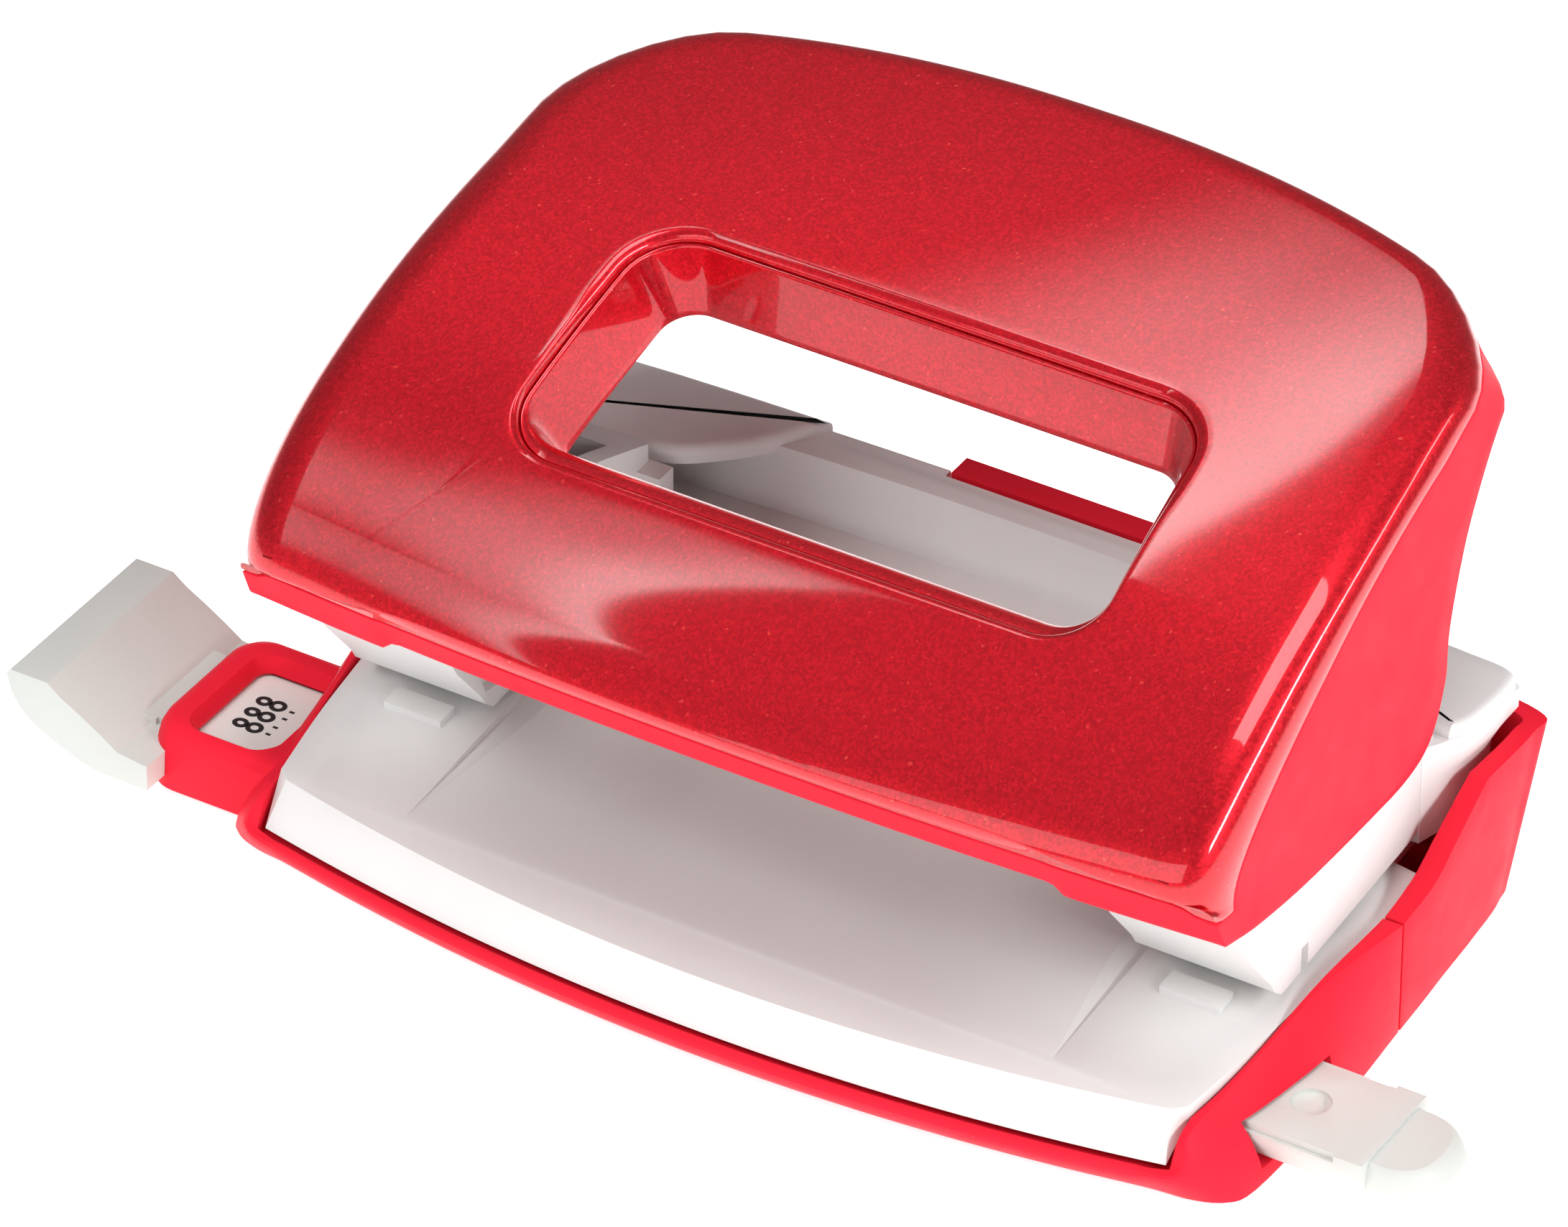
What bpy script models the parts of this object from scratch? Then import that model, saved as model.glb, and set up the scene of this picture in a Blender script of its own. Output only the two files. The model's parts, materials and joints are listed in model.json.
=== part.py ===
"""Two-hole desk punch: a red handle on a pale body, over a paper plate in a red base.

Frame: +X to the right along the guide bar, +Y to the rear, +Z up. The origin is the centre of the
non-slip mat's underside. Sizes below are millimetres, and point() turns them into metres.
"""

import math

import bmesh
import bpy
from mathutils import Matrix, Vector

MM = 0.001
GAP = 0.3

# Punching: two pins 80 mm apart, 12 mm in front of the paper stop.
HOLE_SPACING = 80.0
PIN_X = HOLE_SPACING / 2
PIN_Y = 20.0
PIN_RADIUS = 2.75
PIN_TIP_Z = 13.2
PIN_STROKE = 6.0
STOP_Y = PIN_Y + 12.0

# The handle turns on two pivot pins in the legs.
PIVOT_Y = 3.0
PIVOT_Z = 29.0
PIVOT_RADIUS = 1.5
PRESS_ARM = PIN_Y - PIVOT_Y
NOSE_RADIUS = 3.0
LEVER_SCREW_Y = 29.0
NOSE_Z = PIVOT_Z + PIN_STROKE / 2
CAP_TOP_Z = NOSE_Z - NOSE_RADIUS - GAP

# Legs of the upper body, one around each punch pin.
LEG_HALF_WIDTH = 6.6
CHEEK = 2.0
LEG_FLOOR_Z = 15.6
BUSH_TOP_Z = 16.4

# Base and paper plate. The plate rises to the rear.
FLOOR_Z = 0.4
PLATE_FRONT_Z = 8.5
PLATE_SLOPE = 0.09
PLATE_THICK = 1.6
PAPER_GAP = 1.5
SEAM_Y = 21.2
RAIL_Z = 19.0
TRAY_HINGE_Y = 11.5
TRAY_HINGE_Z = 2.4

SCREW_X = 40.0
SCREW_Y = -6.4
SCREW_HEAD = 2.0
BODY_SCREW_XS = (36.2, 43.8)
BODY_SCREW_Y = 32.4
DIE_TOP_Z = 8.8
DIE_HALF = 5.0

# Guide bar, which slides along X through both sides of the base.
GUIDE_Y = 2.8
GUIDE_HALF = 5.8
GUIDE_LOW = 2.0
GUIDE_TOP = 5.6
GUIDE_END_X = 67.6

# The handle's top surface: two Bezier curves from the front lip to the rear edge.
HANDLE_MIDDLE = ((0, -11.7, 33.0), (0, -11.8, 31.0), (0, -8.4, 50.1), (0, 57.3, 60.1))
HANDLE_SIDE = ((49.2, -8.9, 32.2), (48.7, -12.2, 29.5), (51.6, -13.0, 48.3), (46.0, 48.6, 58.1))
HANDLE_CROWN = 2.3
HANDLE_WALL = 2.0
HANDLE_CORNER = 3.0
WINDOW_DEPTH = 8.0
WINDOW_LEAN = 20.0
WINDOW_TAPER = 2.5
FLANGE_X = 49.5

RED_PAINT = (0.80, 0.03, 0.05)
RED_PLASTIC = (0.83, 0.04, 0.06)
PALE_PLASTIC = (0.82, 0.82, 0.81)
GUIDE_GREY = (0.68, 0.69, 0.66)
STEEL = (0.62, 0.63, 0.65)
RUBBER = (0.05, 0.05, 0.05)


def clear_scene():
    for found in list(bpy.data.objects):
        bpy.data.objects.remove(found, do_unlink=True)


def point(x, y, z):
    return Vector((x * MM, y * MM, z * MM))


def material(name, colour, roughness, metallic=0.0):
    made = bpy.data.materials.new(name)
    made.use_nodes = True
    shader = made.node_tree.nodes["Principled BSDF"]
    shader.inputs["Base Color"].default_value = (*colour, 1.0)
    shader.inputs["Roughness"].default_value = roughness
    shader.inputs["Metallic"].default_value = metallic
    return made


def mesh_object(name, points, faces, finish=None, origin=(0, 0, 0)):
    """An object from points in millimetres, with its origin at the given place."""
    mesh = bpy.data.meshes.new(name)
    start = point(*origin)
    mesh.from_pydata([point(*p) - start for p in points], [], faces)
    shape = bmesh.new()
    shape.from_mesh(mesh)
    bmesh.ops.recalc_face_normals(shape, faces=shape.faces)
    shape.to_mesh(mesh)
    shape.free()
    made = bpy.data.objects.new(name, mesh)
    made.location = start
    bpy.context.scene.collection.objects.link(made)
    if finish:
        colour, roughness, metallic = finish
        mesh.materials.append(material(name, colour, roughness, metallic))
    return made


def helper(made):
    """Marks an object as a cutter or as a shape that a Boolean adds."""
    made.hide_render = True
    made.display_type = "WIRE"
    return made


def both_sides(right, middle):
    """A left-right mirrored run of points or columns: right's mirror image, the middle, then right."""

    def mirrored(item):
        if isinstance(item[0], tuple):
            return tuple(mirrored(p) for p in item)
        return (-item[0], *item[1:])

    centred = len(right) and not middle and abs(first_number(right[-1])) < 1e-6
    back_out = list(reversed(right))[1:] if centred else list(reversed(right))
    return [mirrored(item) for item in right] + list(middle) + back_out


def first_number(item):
    return item[0][0] if isinstance(item[0], tuple) else item[0]


def rings_of(columns):
    return [[column[level] for column in columns] for level in range(len(columns[0]))]


def boolean(target, other, operation):
    step = target.modifiers.new(other.name, "BOOLEAN")
    step.operation = operation
    step.solver = "EXACT"
    step.object = helper(other)


def cut(target, *cutters):
    for cutter in cutters:
        boolean(target, cutter, "DIFFERENCE")


def join(target, *others):
    for other in others:
        boolean(target, other, "UNION")


def loft(name, rings, **options):
    """A closed solid through rings of equal count, with flat ends."""
    count = len(rings[0])
    points = [p for ring in rings for p in ring]
    faces = [list(range(count)), list(range((len(rings) - 1) * count, len(rings) * count))]
    for level in range(len(rings) - 1):
        low = level * count
        for i in range(count):
            after = (i + 1) % count
            faces.append([low + i, low + after, low + count + after, low + count + i])
    return mesh_object(name, points, faces, **options)


def mirror_loft(name, rings, **options):
    """A closed solid through rings that each run from one side to its mirror image."""
    count = len(rings[0])
    points = [p for ring in rings for p in ring]
    faces = []
    for start in (0, (len(rings) - 1) * count):
        for i in range((count - 1) // 2):
            j = count - 1 - i
            faces.append([start + k for k in dict.fromkeys((i, i + 1, j - 1, j))])
    for level in range(len(rings) - 1):
        low = level * count
        for i in range(count):
            after = (i + 1) % count
            faces.append([low + i, low + after, low + count + after, low + count + i])
    return mesh_object(name, points, faces, **options)


def prism(name, outline, low, high, axis="Z", **options):
    """An outline extruded along an axis. The outline is (x, y), (y, z) for X, or (x, z) for Y."""
    places = {
        "X": lambda p, level: (level, p[0], p[1]),
        "Y": lambda p, level: (p[0], level, p[1]),
        "Z": lambda p, level: (p[0], p[1], level),
    }
    place = places[axis]
    return loft(name, [[place(p, level) for p in outline] for level in (low, high)], **options)


def box(name, low, high, **options):
    outline = [(low[0], low[1]), (high[0], low[1]), (high[0], high[1]), (low[0], high[1])]
    return prism(name, outline, low[2], high[2], **options)


def arc(centre, radius, start, end, steps):
    """Points along an arc, with angles in degrees."""
    found = []
    for i in range(steps + 1):
        turn = math.radians(start + (end - start) * i / steps)
        found.append((centre[0] + radius * math.cos(turn), centre[1] + radius * math.sin(turn)))
    return found


def circle(centre, radius, steps=24):
    return arc(centre, radius, 0, 360 - 360 / steps, steps - 1)


def rounded_box_outline(x0, y0, x1, y1, radius, steps=4):
    outline = []
    for cx, cy, start in (
        (x1 - radius, y1 - radius, 0),
        (x0 + radius, y1 - radius, 90),
        (x0 + radius, y0 + radius, 180),
        (x1 - radius, y0 + radius, 270),
    ):
        outline += arc((cx, cy), radius, start, start + 90, steps)
    return outline


def turned(name, x, y, profile, steps=24, **options):
    """A solid of revolution about a vertical line, from (radius, z) pairs that run upwards."""
    rings = [[(px, py, z) for px, py in circle((x, y), radius, steps)] for radius, z in profile]
    made = loft(name, rings, **options)
    made.data.shade_smooth()
    made.data.set_sharp_from_angle(angle=math.radians(40))
    return made


def rod(name, y, z, radius, x0, x1, steps=24, **options):
    """A round bar along X."""
    made = prism(name, circle((y, z), radius, steps), x0, x1, "X", **options)
    made.data.shade_smooth()
    made.data.set_sharp_from_angle(angle=math.radians(40))
    return made


def plate_z(y):
    """Height of the paper plate's top at y."""
    return PLATE_FRONT_Z + PLATE_SLOPE * (y + 8.0)


def bow(x, middle, corner, half_width):
    """A gently bowed edge: its y at x, between the middle's y and the corner's y."""
    return middle + (corner - middle) * (x / half_width) ** 2


# ---------------------------------------------------------------- base, plate and tray

# The right-hand side wall of the base, front to rear: its foot, its middle and its rim.
SIDE_WALL = (
    ((48.0, -8.8, FLOOR_Z), (47.9, -10.6, 3.3), (47.3, -10.4, 4.2)),
    ((50.8, -7.6, FLOOR_Z), (49.7, -8.4, 3.8), (47.5, -8.5, 7.0)),
    ((52.1, -5.2, FLOOR_Z), (50.7, -4.4, 4.2), (47.9, -3.0, 8.0)),
    ((52.4, 3.0, FLOOR_Z), (51.4, 3.0, 5.0), (48.6, 3.0, 9.3)),
    ((52.4, 12.0, FLOOR_Z), (51.8, 12.0, 6.0), (49.8, 12.0, 11.3)),
    ((51.8, SEAM_Y, FLOOR_Z), (51.8, SEAM_Y, 6.0), (51.8, SEAM_Y, 12.1)),
)

# The right-hand wall of the tray, front to rear: outer foot, outer rim, inner foot and inner rim.
TRAY_WALL = (
    ((51.8, 21.5, FLOOR_Z), (51.8, 21.5, 12.1), (49.8, 16.0, 2.1), (50.0, 16.0, 21.0)),
    ((51.5, 26.5, FLOOR_Z), (52.0, 26.5, 13.2), (49.6, 26.5, 2.1), (50.1, 26.5, 21.0)),
    ((51.2, 30.5, FLOOR_Z), (52.0, 30.5, 15.6), (49.4, 30.5, 2.1), (50.2, 30.5, 21.0)),
    ((50.9, 35.6, FLOOR_Z), (52.1, 35.6, RAIL_Z), (49.1, 35.6, 2.1), (50.4, 35.6, 21.0)),
    ((50.2, 42.5, FLOOR_Z), (52.2, 43.6, RAIL_Z), (48.4, 41.9, 2.1), (50.7, 43.0, 21.0)),
    ((48.4, 45.5, FLOOR_Z), (51.0, 46.9, RAIL_Z), (46.7, 43.9, 2.1), (49.6, 45.8, 21.0)),
    ((38.0, 46.6, FLOOR_Z), (38.0, 48.3, RAIL_Z), (38.0, 44.8, 2.1), (38.0, 46.7, 21.0)),
    ((19.0, 47.3, FLOOR_Z), (19.0, 49.1, RAIL_Z), (19.0, 45.5, 2.1), (19.0, 47.4, 21.0)),
    ((0.0, 47.6, FLOOR_Z), (0.0, 49.4, RAIL_Z), (0.0, 45.8, 2.1), (0.0, 47.7, 21.0)),
)


def base_shell():
    columns = []
    steps = 12
    for i in range(steps + 1):
        x = -44 + 88 * i / steps
        lip_y = bow(x, -16.1, -11.4, 44)
        columns.append(((x, bow(x, -13.8, -9.3, 44), FLOOR_Z), (x, lip_y, 3.5), (x, lip_y + 0.3, 3.9)))
    around = both_sides(SIDE_WALL[::-1], columns)
    shell = mirror_loft("base_shell", rings_of(around), finish=(RED_PLASTIC, 0.45, 0.0))

    outline = rounded_box_outline(-62.4, -5.8, -44.0, 11.4, 3.2, 3)
    join(shell, prism("guide_frame", outline, FLOOR_Z + 0.4, 7.4))
    front = [(x, bow(x, -12.9, -9.0, 44)) for x in (-42, -28, -14, 0, 14, 28, 42)]
    hollow = [(-45.4, 8.0), (-45.4, -7.6), *front, (45.4, -7.6), (45.4, 8.0)]
    cut(shell, prism("base_hollow", hollow, 2.2, 30))
    nose = [(x, bow(x, -15.3, -10.3, 46.5)) for x in (-46.5, -31, -16, 0, 16, 31, 46.5)]
    nose_way = [(-46.8, -4.0), (-46.8, -10.4), *nose[1:-1], (46.8, -10.4), (46.8, -4.0)]
    cut(shell, prism("plate_nose_way", nose_way, 3.9, 30))
    seat = both_sides([(x + GAP, y) for x, y in PLATE_SIDE[4::-1]], [])
    seat = [(-50.0, 40.0), *seat, (50.0, 40.0)]
    low = [(x, y, plate_z(y) - PLATE_THICK - GAP) for x, y in seat]
    cut(shell, mirror_loft("plate_seat", [low, [(x, y, z + 30) for x, y, z in low]]))
    cut(shell, box("tray_way", (-46.2, TRAY_HINGE_Y - 2.3, -1), (46.2, 40, 30)))

    window = rounded_box_outline(-58.2, -3.8, -50.6, 8.0, 1.4, 3)
    cut(shell, prism("frame_window", window, 5.0, 12))
    for x in (-34, 34):
        low = (x - 4.7, TRAY_HINGE_Y - 3, FLOOR_Z)
        join(shell, rod("base_knuckle", TRAY_HINGE_Y, TRAY_HINGE_Z, 2.0, x - 4.7, x + 4.7, 16))
        join(shell, box("base_knuckle_web", low, (x + 4.7, TRAY_HINGE_Y - 0.3, 2.7)))
        cut(shell, rod("base_knuckle_bore", TRAY_HINGE_Y, TRAY_HINGE_Z, 1.1, x - 5.5, x + 5.5, 16))
    for x in (-SCREW_X, SCREW_X):
        join(shell, turned("base_boss", x, SCREW_Y, ((2.9, 1.4), (2.9, 3.7)), 16))
    low = (-80, GUIDE_Y - GUIDE_HALF - GAP, GUIDE_LOW - GAP)
    cut(shell, box("guide_way", low, (80, GUIDE_Y + GUIDE_HALF + GAP, GUIDE_TOP + GAP)))
    cut(shell, prism("mat_seat", rounded_box_outline(-34.3, -8.5, 34.3, 8.5, 3.3), -1, 0.9))
    for x in (-SCREW_X, SCREW_X):
        head = ((SCREW_HEAD + 0.3, -1), (SCREW_HEAD + 0.3, 2.0), (1.3, 2.01), (1.3, 12))
        cut(shell, turned("base_screw_way", x, SCREW_Y, head, 16))


# The right-hand edge of the paper plate behind its front corner.
PLATE_SIDE = (
    (46.5, -6.8), (47.7, 1.0), (48.4, 8.0), (49.5, 20.0), (49.6, 27.0), (48.9, 28.8), (46.0, 29.2), (46.0, 43.0),
)


def paper_plate():
    """The pale plate: a flat top between the rims, with an apron down to the base's lip."""
    xs = [-45.3 + 90.6 * i / 12 for i in range(13)]
    crease = [(x, bow(x, -13.2, -7.8, 45.3), PLATE_FRONT_Z) for x in xs]
    apron = [(x * 1.02, bow(x, -15.0, -10.0, 45.3), 4.2) for x in xs]
    top = [(x, y, plate_z(y)) for x, y in PLATE_SIDE[::-1]]
    under = [(x, y, z - PLATE_THICK) for x, y, z in top]
    rings = [both_sides(under, apron), both_sides(top, crease)]
    plate = mirror_loft("paper_plate", rings, finish=(PALE_PLASTIC, 0.5, 0.0))

    low = [(x * 0.97, bow(x, -13.2, -8.4, 45.3), 2.0) for x in xs]
    high = [(x * 0.97, bow(x, -11.6, -6.6, 45.3), 6.7) for x in xs]
    rings = [both_sides([(44.0, -3.0, z)], row) for z, row in ((2.0, low), (6.7, high))]
    cut(plate, mirror_loft("apron_hollow", rings))
    for side in (-1, 1):
        x = side * PIN_X
        name = "left" if side < 0 else "right"
        join(plate, turned(f"plate_boss_{name}", side * SCREW_X, SCREW_Y, ((2.6, 4.0), (2.6, 7.6)), 16))
        cut(plate, turned(f"plate_pilot_{name}", side * SCREW_X, SCREW_Y, ((1.06, 2), (1.06, 7.2)), 12))
        for rib in (-5.1, 5.1):
            low = (x + rib - 0.6, PIN_Y - DIE_HALF, DIE_TOP_Z - 2.0)
            high = (x + rib + 0.6, PIN_Y + DIE_HALF, plate_z(PIN_Y) - 0.8)
            join(plate, box(f"die_rib_{name}", low, high))
        cut(plate, turned(f"hole_{name}", x, PIN_Y, ((PIN_RADIUS + 0.5, 4), (PIN_RADIUS + 0.5, 16)), 20))
        for bx in BODY_SCREW_XS:
            cut(plate, turned("body_screw_way", side * bx, BODY_SCREW_Y, ((1.3, 4), (1.3, 18)), 12))


def chip_tray():
    """The rear red part: a tray for the punched chips that swings down on two hinge pins."""
    finish = (RED_PLASTIC, 0.45, 0.0)
    around = both_sides(TRAY_WALL, [])
    foot, rim, inner_foot, inner_rim = rings_of(around)
    tray = mirror_loft("chip_tray", [foot, rim], finish=finish, origin=(0, TRAY_HINGE_Y, TRAY_HINGE_Z))
    cut(tray, mirror_loft("tray_hollow", [inner_foot, inner_rim]))
    join(tray, box("tray_floor", (-44.2, 14.0, FLOOR_Z), (44.2, 26.0, 1.9)))
    join(tray, box("tray_lip", (-44.2, 14.0, FLOOR_Z + 0.2), (44.2, 15.2, 5.6)))
    for side in (-1, 1):
        x = side * 24.5
        join(tray, rod("tray_knuckle", TRAY_HINGE_Y, TRAY_HINGE_Z, 2.0, x - 4.5, x + 4.5, 16))
        low = (x - 4.5, TRAY_HINGE_Y + 0.3, FLOOR_Z)
        join(tray, box("tray_web", low, (x + 4.5, TRAY_HINGE_Y + 3.2, 2.7)))
        cut(tray, rod("tray_bore", TRAY_HINGE_Y, TRAY_HINGE_Z, 1.1, x - 5.5, x + 5.5, 16))
        cut(tray, turned("foot_seat", side * 36, 38, ((4.3, -1), (4.3, 1.2)), 20))
    tab = [(48.0, 16.5), (49.4, 16.5), (49.6, 22.4), (49.2, 22.9), (46.4, 22.9), (46.4, 21.7), (48.0, 21.2)]
    join(tray, prism("finger_tab", tab, -9.0, 30.0, "X"))


def base_fittings():
    outline = rounded_box_outline(-34, -8.2, 34, 8.2, 3)
    prism("base_mat", outline, 0, 0.7, finish=(RUBBER, 0.8, 0.0))
    for side, name in ((-1, "left"), (1, "right")):
        steel = (STEEL, 0.3, 1.0)
        foot = ((3.8, 0), (4.0, 0.3), (4.0, 0.9))
        turned(f"tray_foot_{name}", side * 36, 38, foot, 20, finish=(RUBBER, 0.8, 0.0))
        ends = sorted((side * 20.2, side * 38.4))
        rod(f"tray_hinge_pin_{name}", TRAY_HINGE_Y, TRAY_HINGE_Z, 1.0, *ends, steps=16, finish=steel)
        screw(f"base_screw_{name}", side * SCREW_X, SCREW_Y, 0.6, 1.8, 7.0, steel)
        low = (side * PIN_X - 4.2, PIN_Y - DIE_HALF, DIE_TOP_Z - 2.0)
        high = (side * PIN_X + 4.2, PIN_Y + DIE_HALF, DIE_TOP_Z)
        die = box(f"die_plate_{name}", low, high, finish=steel)
        bore = ((PIN_RADIUS + 0.06, 0), (PIN_RADIUS + 0.06, 20))
        cut(die, turned(f"die_bore_{name}", side * PIN_X, PIN_Y, bore))
        under = plate_z(BODY_SCREW_Y) - PLATE_THICK - GAP
        for bx, where in zip(BODY_SCREW_XS, ("inner", "outer")):
            label = f"body_screw_{name}_{where}"
            screw(label, side * bx, BODY_SCREW_Y, under - 1.4, under - 0.2, 19.0, steel)


def screw(name, x, y, low, head_top, tip, finish):
    """A pan-head screw that points up, with a cross slot in its head."""
    head = ((SCREW_HEAD - 0.3, low), (SCREW_HEAD, low + 0.3), (SCREW_HEAD, head_top))
    profile = (*head, (1.0, head_top + 0.02), (1.0, tip))
    made = turned(name, x, y, profile, 16, finish=finish)
    for wide, deep in ((1.3, 0.3), (0.3, 1.3)):
        cut(made, box(name + "_slot", (x - wide, y - deep, low - 1), (x + wide, y + deep, low + 0.6)))


def guide_bar():
    """The sliding paper guide: a grooved bar with a rounded end and a leaning stop tab."""
    front = GUIDE_Y - GUIDE_HALF
    back = GUIDE_Y + GUIDE_HALF
    groove = [(front + 1.0, GUIDE_LOW), (back - 1.0, GUIDE_LOW), (back - 0.5, 4.4), (back, 4.6)]
    groove += [(back, GUIDE_TOP), (front, GUIDE_TOP), (front, 4.6), (front + 0.5, 4.4)]
    finish = (GUIDE_GREY, 0.55, 0.0)
    bar = prism("guide_bar", groove, -64.0, 59.0, "X", finish=finish, origin=(0, GUIDE_Y, GUIDE_TOP))
    end = [(58.0, front), (65.0, front), *arc((63.4, GUIDE_Y), 4.2, -62, 62, 8), (64.3, back), (58.0, back)]
    join(bar, prism("guide_end", end, GUIDE_LOW, GUIDE_TOP))
    cut(bar, turned("guide_dimple", 53.3, 2.7, ((0.5, 5.0), (1.85, 5.8)), 16))
    tab = [(-60.0, GUIDE_LOW), (-60.0, GUIDE_TOP), (-63.4, GUIDE_TOP), (-64.9, 6.3), (-67.1, 7.6)]
    tab += [(-69.2, 8.8), (-70.6, 9.9), (-74.6, 9.9), (-75.0, 9.4), (-73.8, 6.1), (-71.9, 4.5)]
    tab += [(-69.6, 3.6), (-66.6, 2.2), (-65.4, GUIDE_LOW)]
    join(bar, prism("stop_tab", tab, -8.4, 11.9, "Y"))
    cut(bar, box("tab_nick_front", (-62.8, -20, -1), (-50, front, 9)))
    cut(bar, box("tab_nick_rear", (-62.8, back, -1), (-50, 20, 9)))
    for x in (-56.4, 0.0, 24.0):
        cut(bar, box("notch", (x - 0.8, back - 0.5, 4.0), (x + 0.8, back + 1, 7)))


def detent_spring():
    """A bent steel leaf under the paper plate that presses on the guide bar."""
    path = [(-17, 6.8), (-10, 6.8), (-3, 5.9), (3, 5.9), (10, 6.8), (17, 6.8)]
    outline = path + [(x, z + 0.35) for x, z in reversed(path)]
    prism("guide_detent_spring", outline, 1.0, 5.0, "Y", finish=(STEEL, 0.3, 1.0))


# ---------------------------------------------------------------- upper body

def leg_outline():
    """Side view of a leg, with its foot over the paper gap and its front face leaning forwards."""
    foot = plate_z(8.0) + PAPER_GAP
    heel = plate_z(STOP_Y) + PAPER_GAP
    outline = [(7.8, foot), (STOP_Y + 2, heel), (STOP_Y + 2, 24.5), (PIN_Y + 7.0, 27.0), (8.0, 33.2)]
    outline += arc((PIVOT_Y, PIVOT_Z), 4.6, 60, 180, 4)
    outline += [(-1.0, 24.0), (2.0, 18.5)]
    return outline


def upper_body():
    """Two hollow legs, joined at the rear by a deck with a sunk well and a bowed rear wall."""
    outer = [(47.4, STOP_Y), (48.6, 36.0), (48.8, 41.6), (47.0, 43.6)]
    outer += [(38.0, 44.6), (19.0, 45.3), (0.0, 45.6)]
    upper = [(47.0, STOP_Y), (49.8, 37.0), (50.1, 43.0), (48.9, 45.3)]
    upper += [(38.0, 46.2), (19.0, 46.9), (0.0, 47.2)]
    low = [(x, y, plate_z(y) + GAP) for x, y in outer]
    middle = [(x, y, 19.4) for x, y in outer]
    high = [(x, y, 19.8) for x, y in upper]
    top = [(x, y, 22.6) for x, y in upper]
    rings = [both_sides(row, []) for row in (low, middle, high, top)]
    body = mirror_loft("upper_body", rings, finish=(PALE_PLASTIC, 0.5, 0.0))
    for side in (-1, 1):
        x = side * PIN_X
        name = "leg_left" if side < 0 else "leg_right"
        join(body, prism(name, leg_outline(), x - LEG_HALF_WIDTH, x + LEG_HALF_WIDTH, "X"))
        wall = [(y, plate_z(y) + PAPER_GAP) for y in (13.5, 34.0)] + [(34.0, 23.6), (13.5, 23.6)]
        ends = sorted((side * 45.8, side * 47.3))
        join(body, prism(name + "_wall", wall, *ends, "X"))
    back = [(x, bow(x, 43.0, 41.4, 38)) for x in (38, 19, 0, -19, -38)]
    well = [(-45.6, 34.4), (45.6, 34.4), (45.6, 40.0), *back, (-45.6, 40.0)]
    cut(body, prism("well", well, 15.4, 40))
    cut(body, box("deck_front", (-31, 28, 15.4), (31, 36, 40)))
    for side in (-1, 1):
        x = side * PIN_X
        low = (x - LEG_HALF_WIDTH + CHEEK, 9.5, LEG_FLOOR_Z)
        high = (x + LEG_HALF_WIDTH - CHEEK, 30.2, 60)
        cut(body, box("leg_hollow", low, high))
        cut(body, box("lever_way", (low[0], -6, PIVOT_Z - 5.2), (high[0], 12, 60)))
        cut(body, turned("bush_way", x, PIN_Y, ((4.3, 5), (4.3, 40)), 24))
        cut(body, rod("pivot_bore", PIVOT_Y, PIVOT_Z, PIVOT_RADIUS + 0.06, *sorted((side * 30, side * 50))))
        for bx in BODY_SCREW_XS:
            cut(body, turned("body_screw_bore", side * bx, BODY_SCREW_Y, ((1.06, 5), (1.06, 19.3)), 12))
    cut(body, box("tab_way", (-9.4, 46.1, 18.4), (30.4, 60, 40)))


def corner_covers():
    """Thin leaves that close the rear corners of the well."""
    for side, name in ((-1, "corner_cover_left"), (1, "corner_cover_right")):
        outline = [(49.2, 36.0), (49.8, 42.8), (48.4, 45.0), (38.0, 45.8), (31.2, 46.3), (21.7, 46.7)]
        outline += [(25.0, 41.8), (28.1, 38.4), (32.0, 35.5), (37.0, 35.1), (43.0, 34.8)]
        outline = [(side * x, y) for x, y in outline]
        prism(name, outline, 22.6 + GAP, 23.9, finish=(PALE_PLASTIC, 0.5, 0.0))


# ---------------------------------------------------------------- punching parts

def punch_parts():
    for side, name in ((-1, "left"), (1, "right")):
        x = side * PIN_X
        steel = (STEEL, 0.3, 1.0)
        start = (x, PIN_Y, PIN_TIP_Z)
        pin = turned(
            f"punch_pin_{name}",
            x,
            PIN_Y,
            ((PIN_RADIUS, PIN_TIP_Z), (PIN_RADIUS, CAP_TOP_Z - 3.0)),
            finish=steel,
            origin=start,
        )
        notch = [(x - 4, PIN_TIP_Z - 1), (x + 4, PIN_TIP_Z - 1), (x, PIN_TIP_Z + 1.2)]
        cut(pin, prism("tip_notch", notch, PIN_Y - 6, PIN_Y + 6, "Y"))
        rise = CAP_TOP_Z - 3.0 + GAP
        turned(
            f"pin_cap_{name}",
            x,
            PIN_Y,
            ((4.0, rise), (4.3, rise + 0.5), (4.3, CAP_TOP_Z - 0.6), (3.6, CAP_TOP_Z)),
            finish=(PALE_PLASTIC, 0.4, 0.0),
            origin=start,
        )
        inner = PIN_RADIUS + 0.07
        bush = turned(
            f"pin_bush_{name}",
            x,
            PIN_Y,
            ((4.0, plate_z(PIN_Y) + PAPER_GAP + 0.9), (4.0, BUSH_TOP_Z)),
            finish=steel,
        )
        cut(bush, turned("bush_bore", x, PIN_Y, ((inner, 5), (inner, 30))))
        return_spring(f"return_spring_{name}", x)
        half = LEG_HALF_WIDTH - 0.3
        rod(
            f"pivot_pin_{name}",
            PIVOT_Y,
            PIVOT_Z,
            PIVOT_RADIUS,
            x - half,
            x + half,
            finish=steel,
        )


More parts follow.
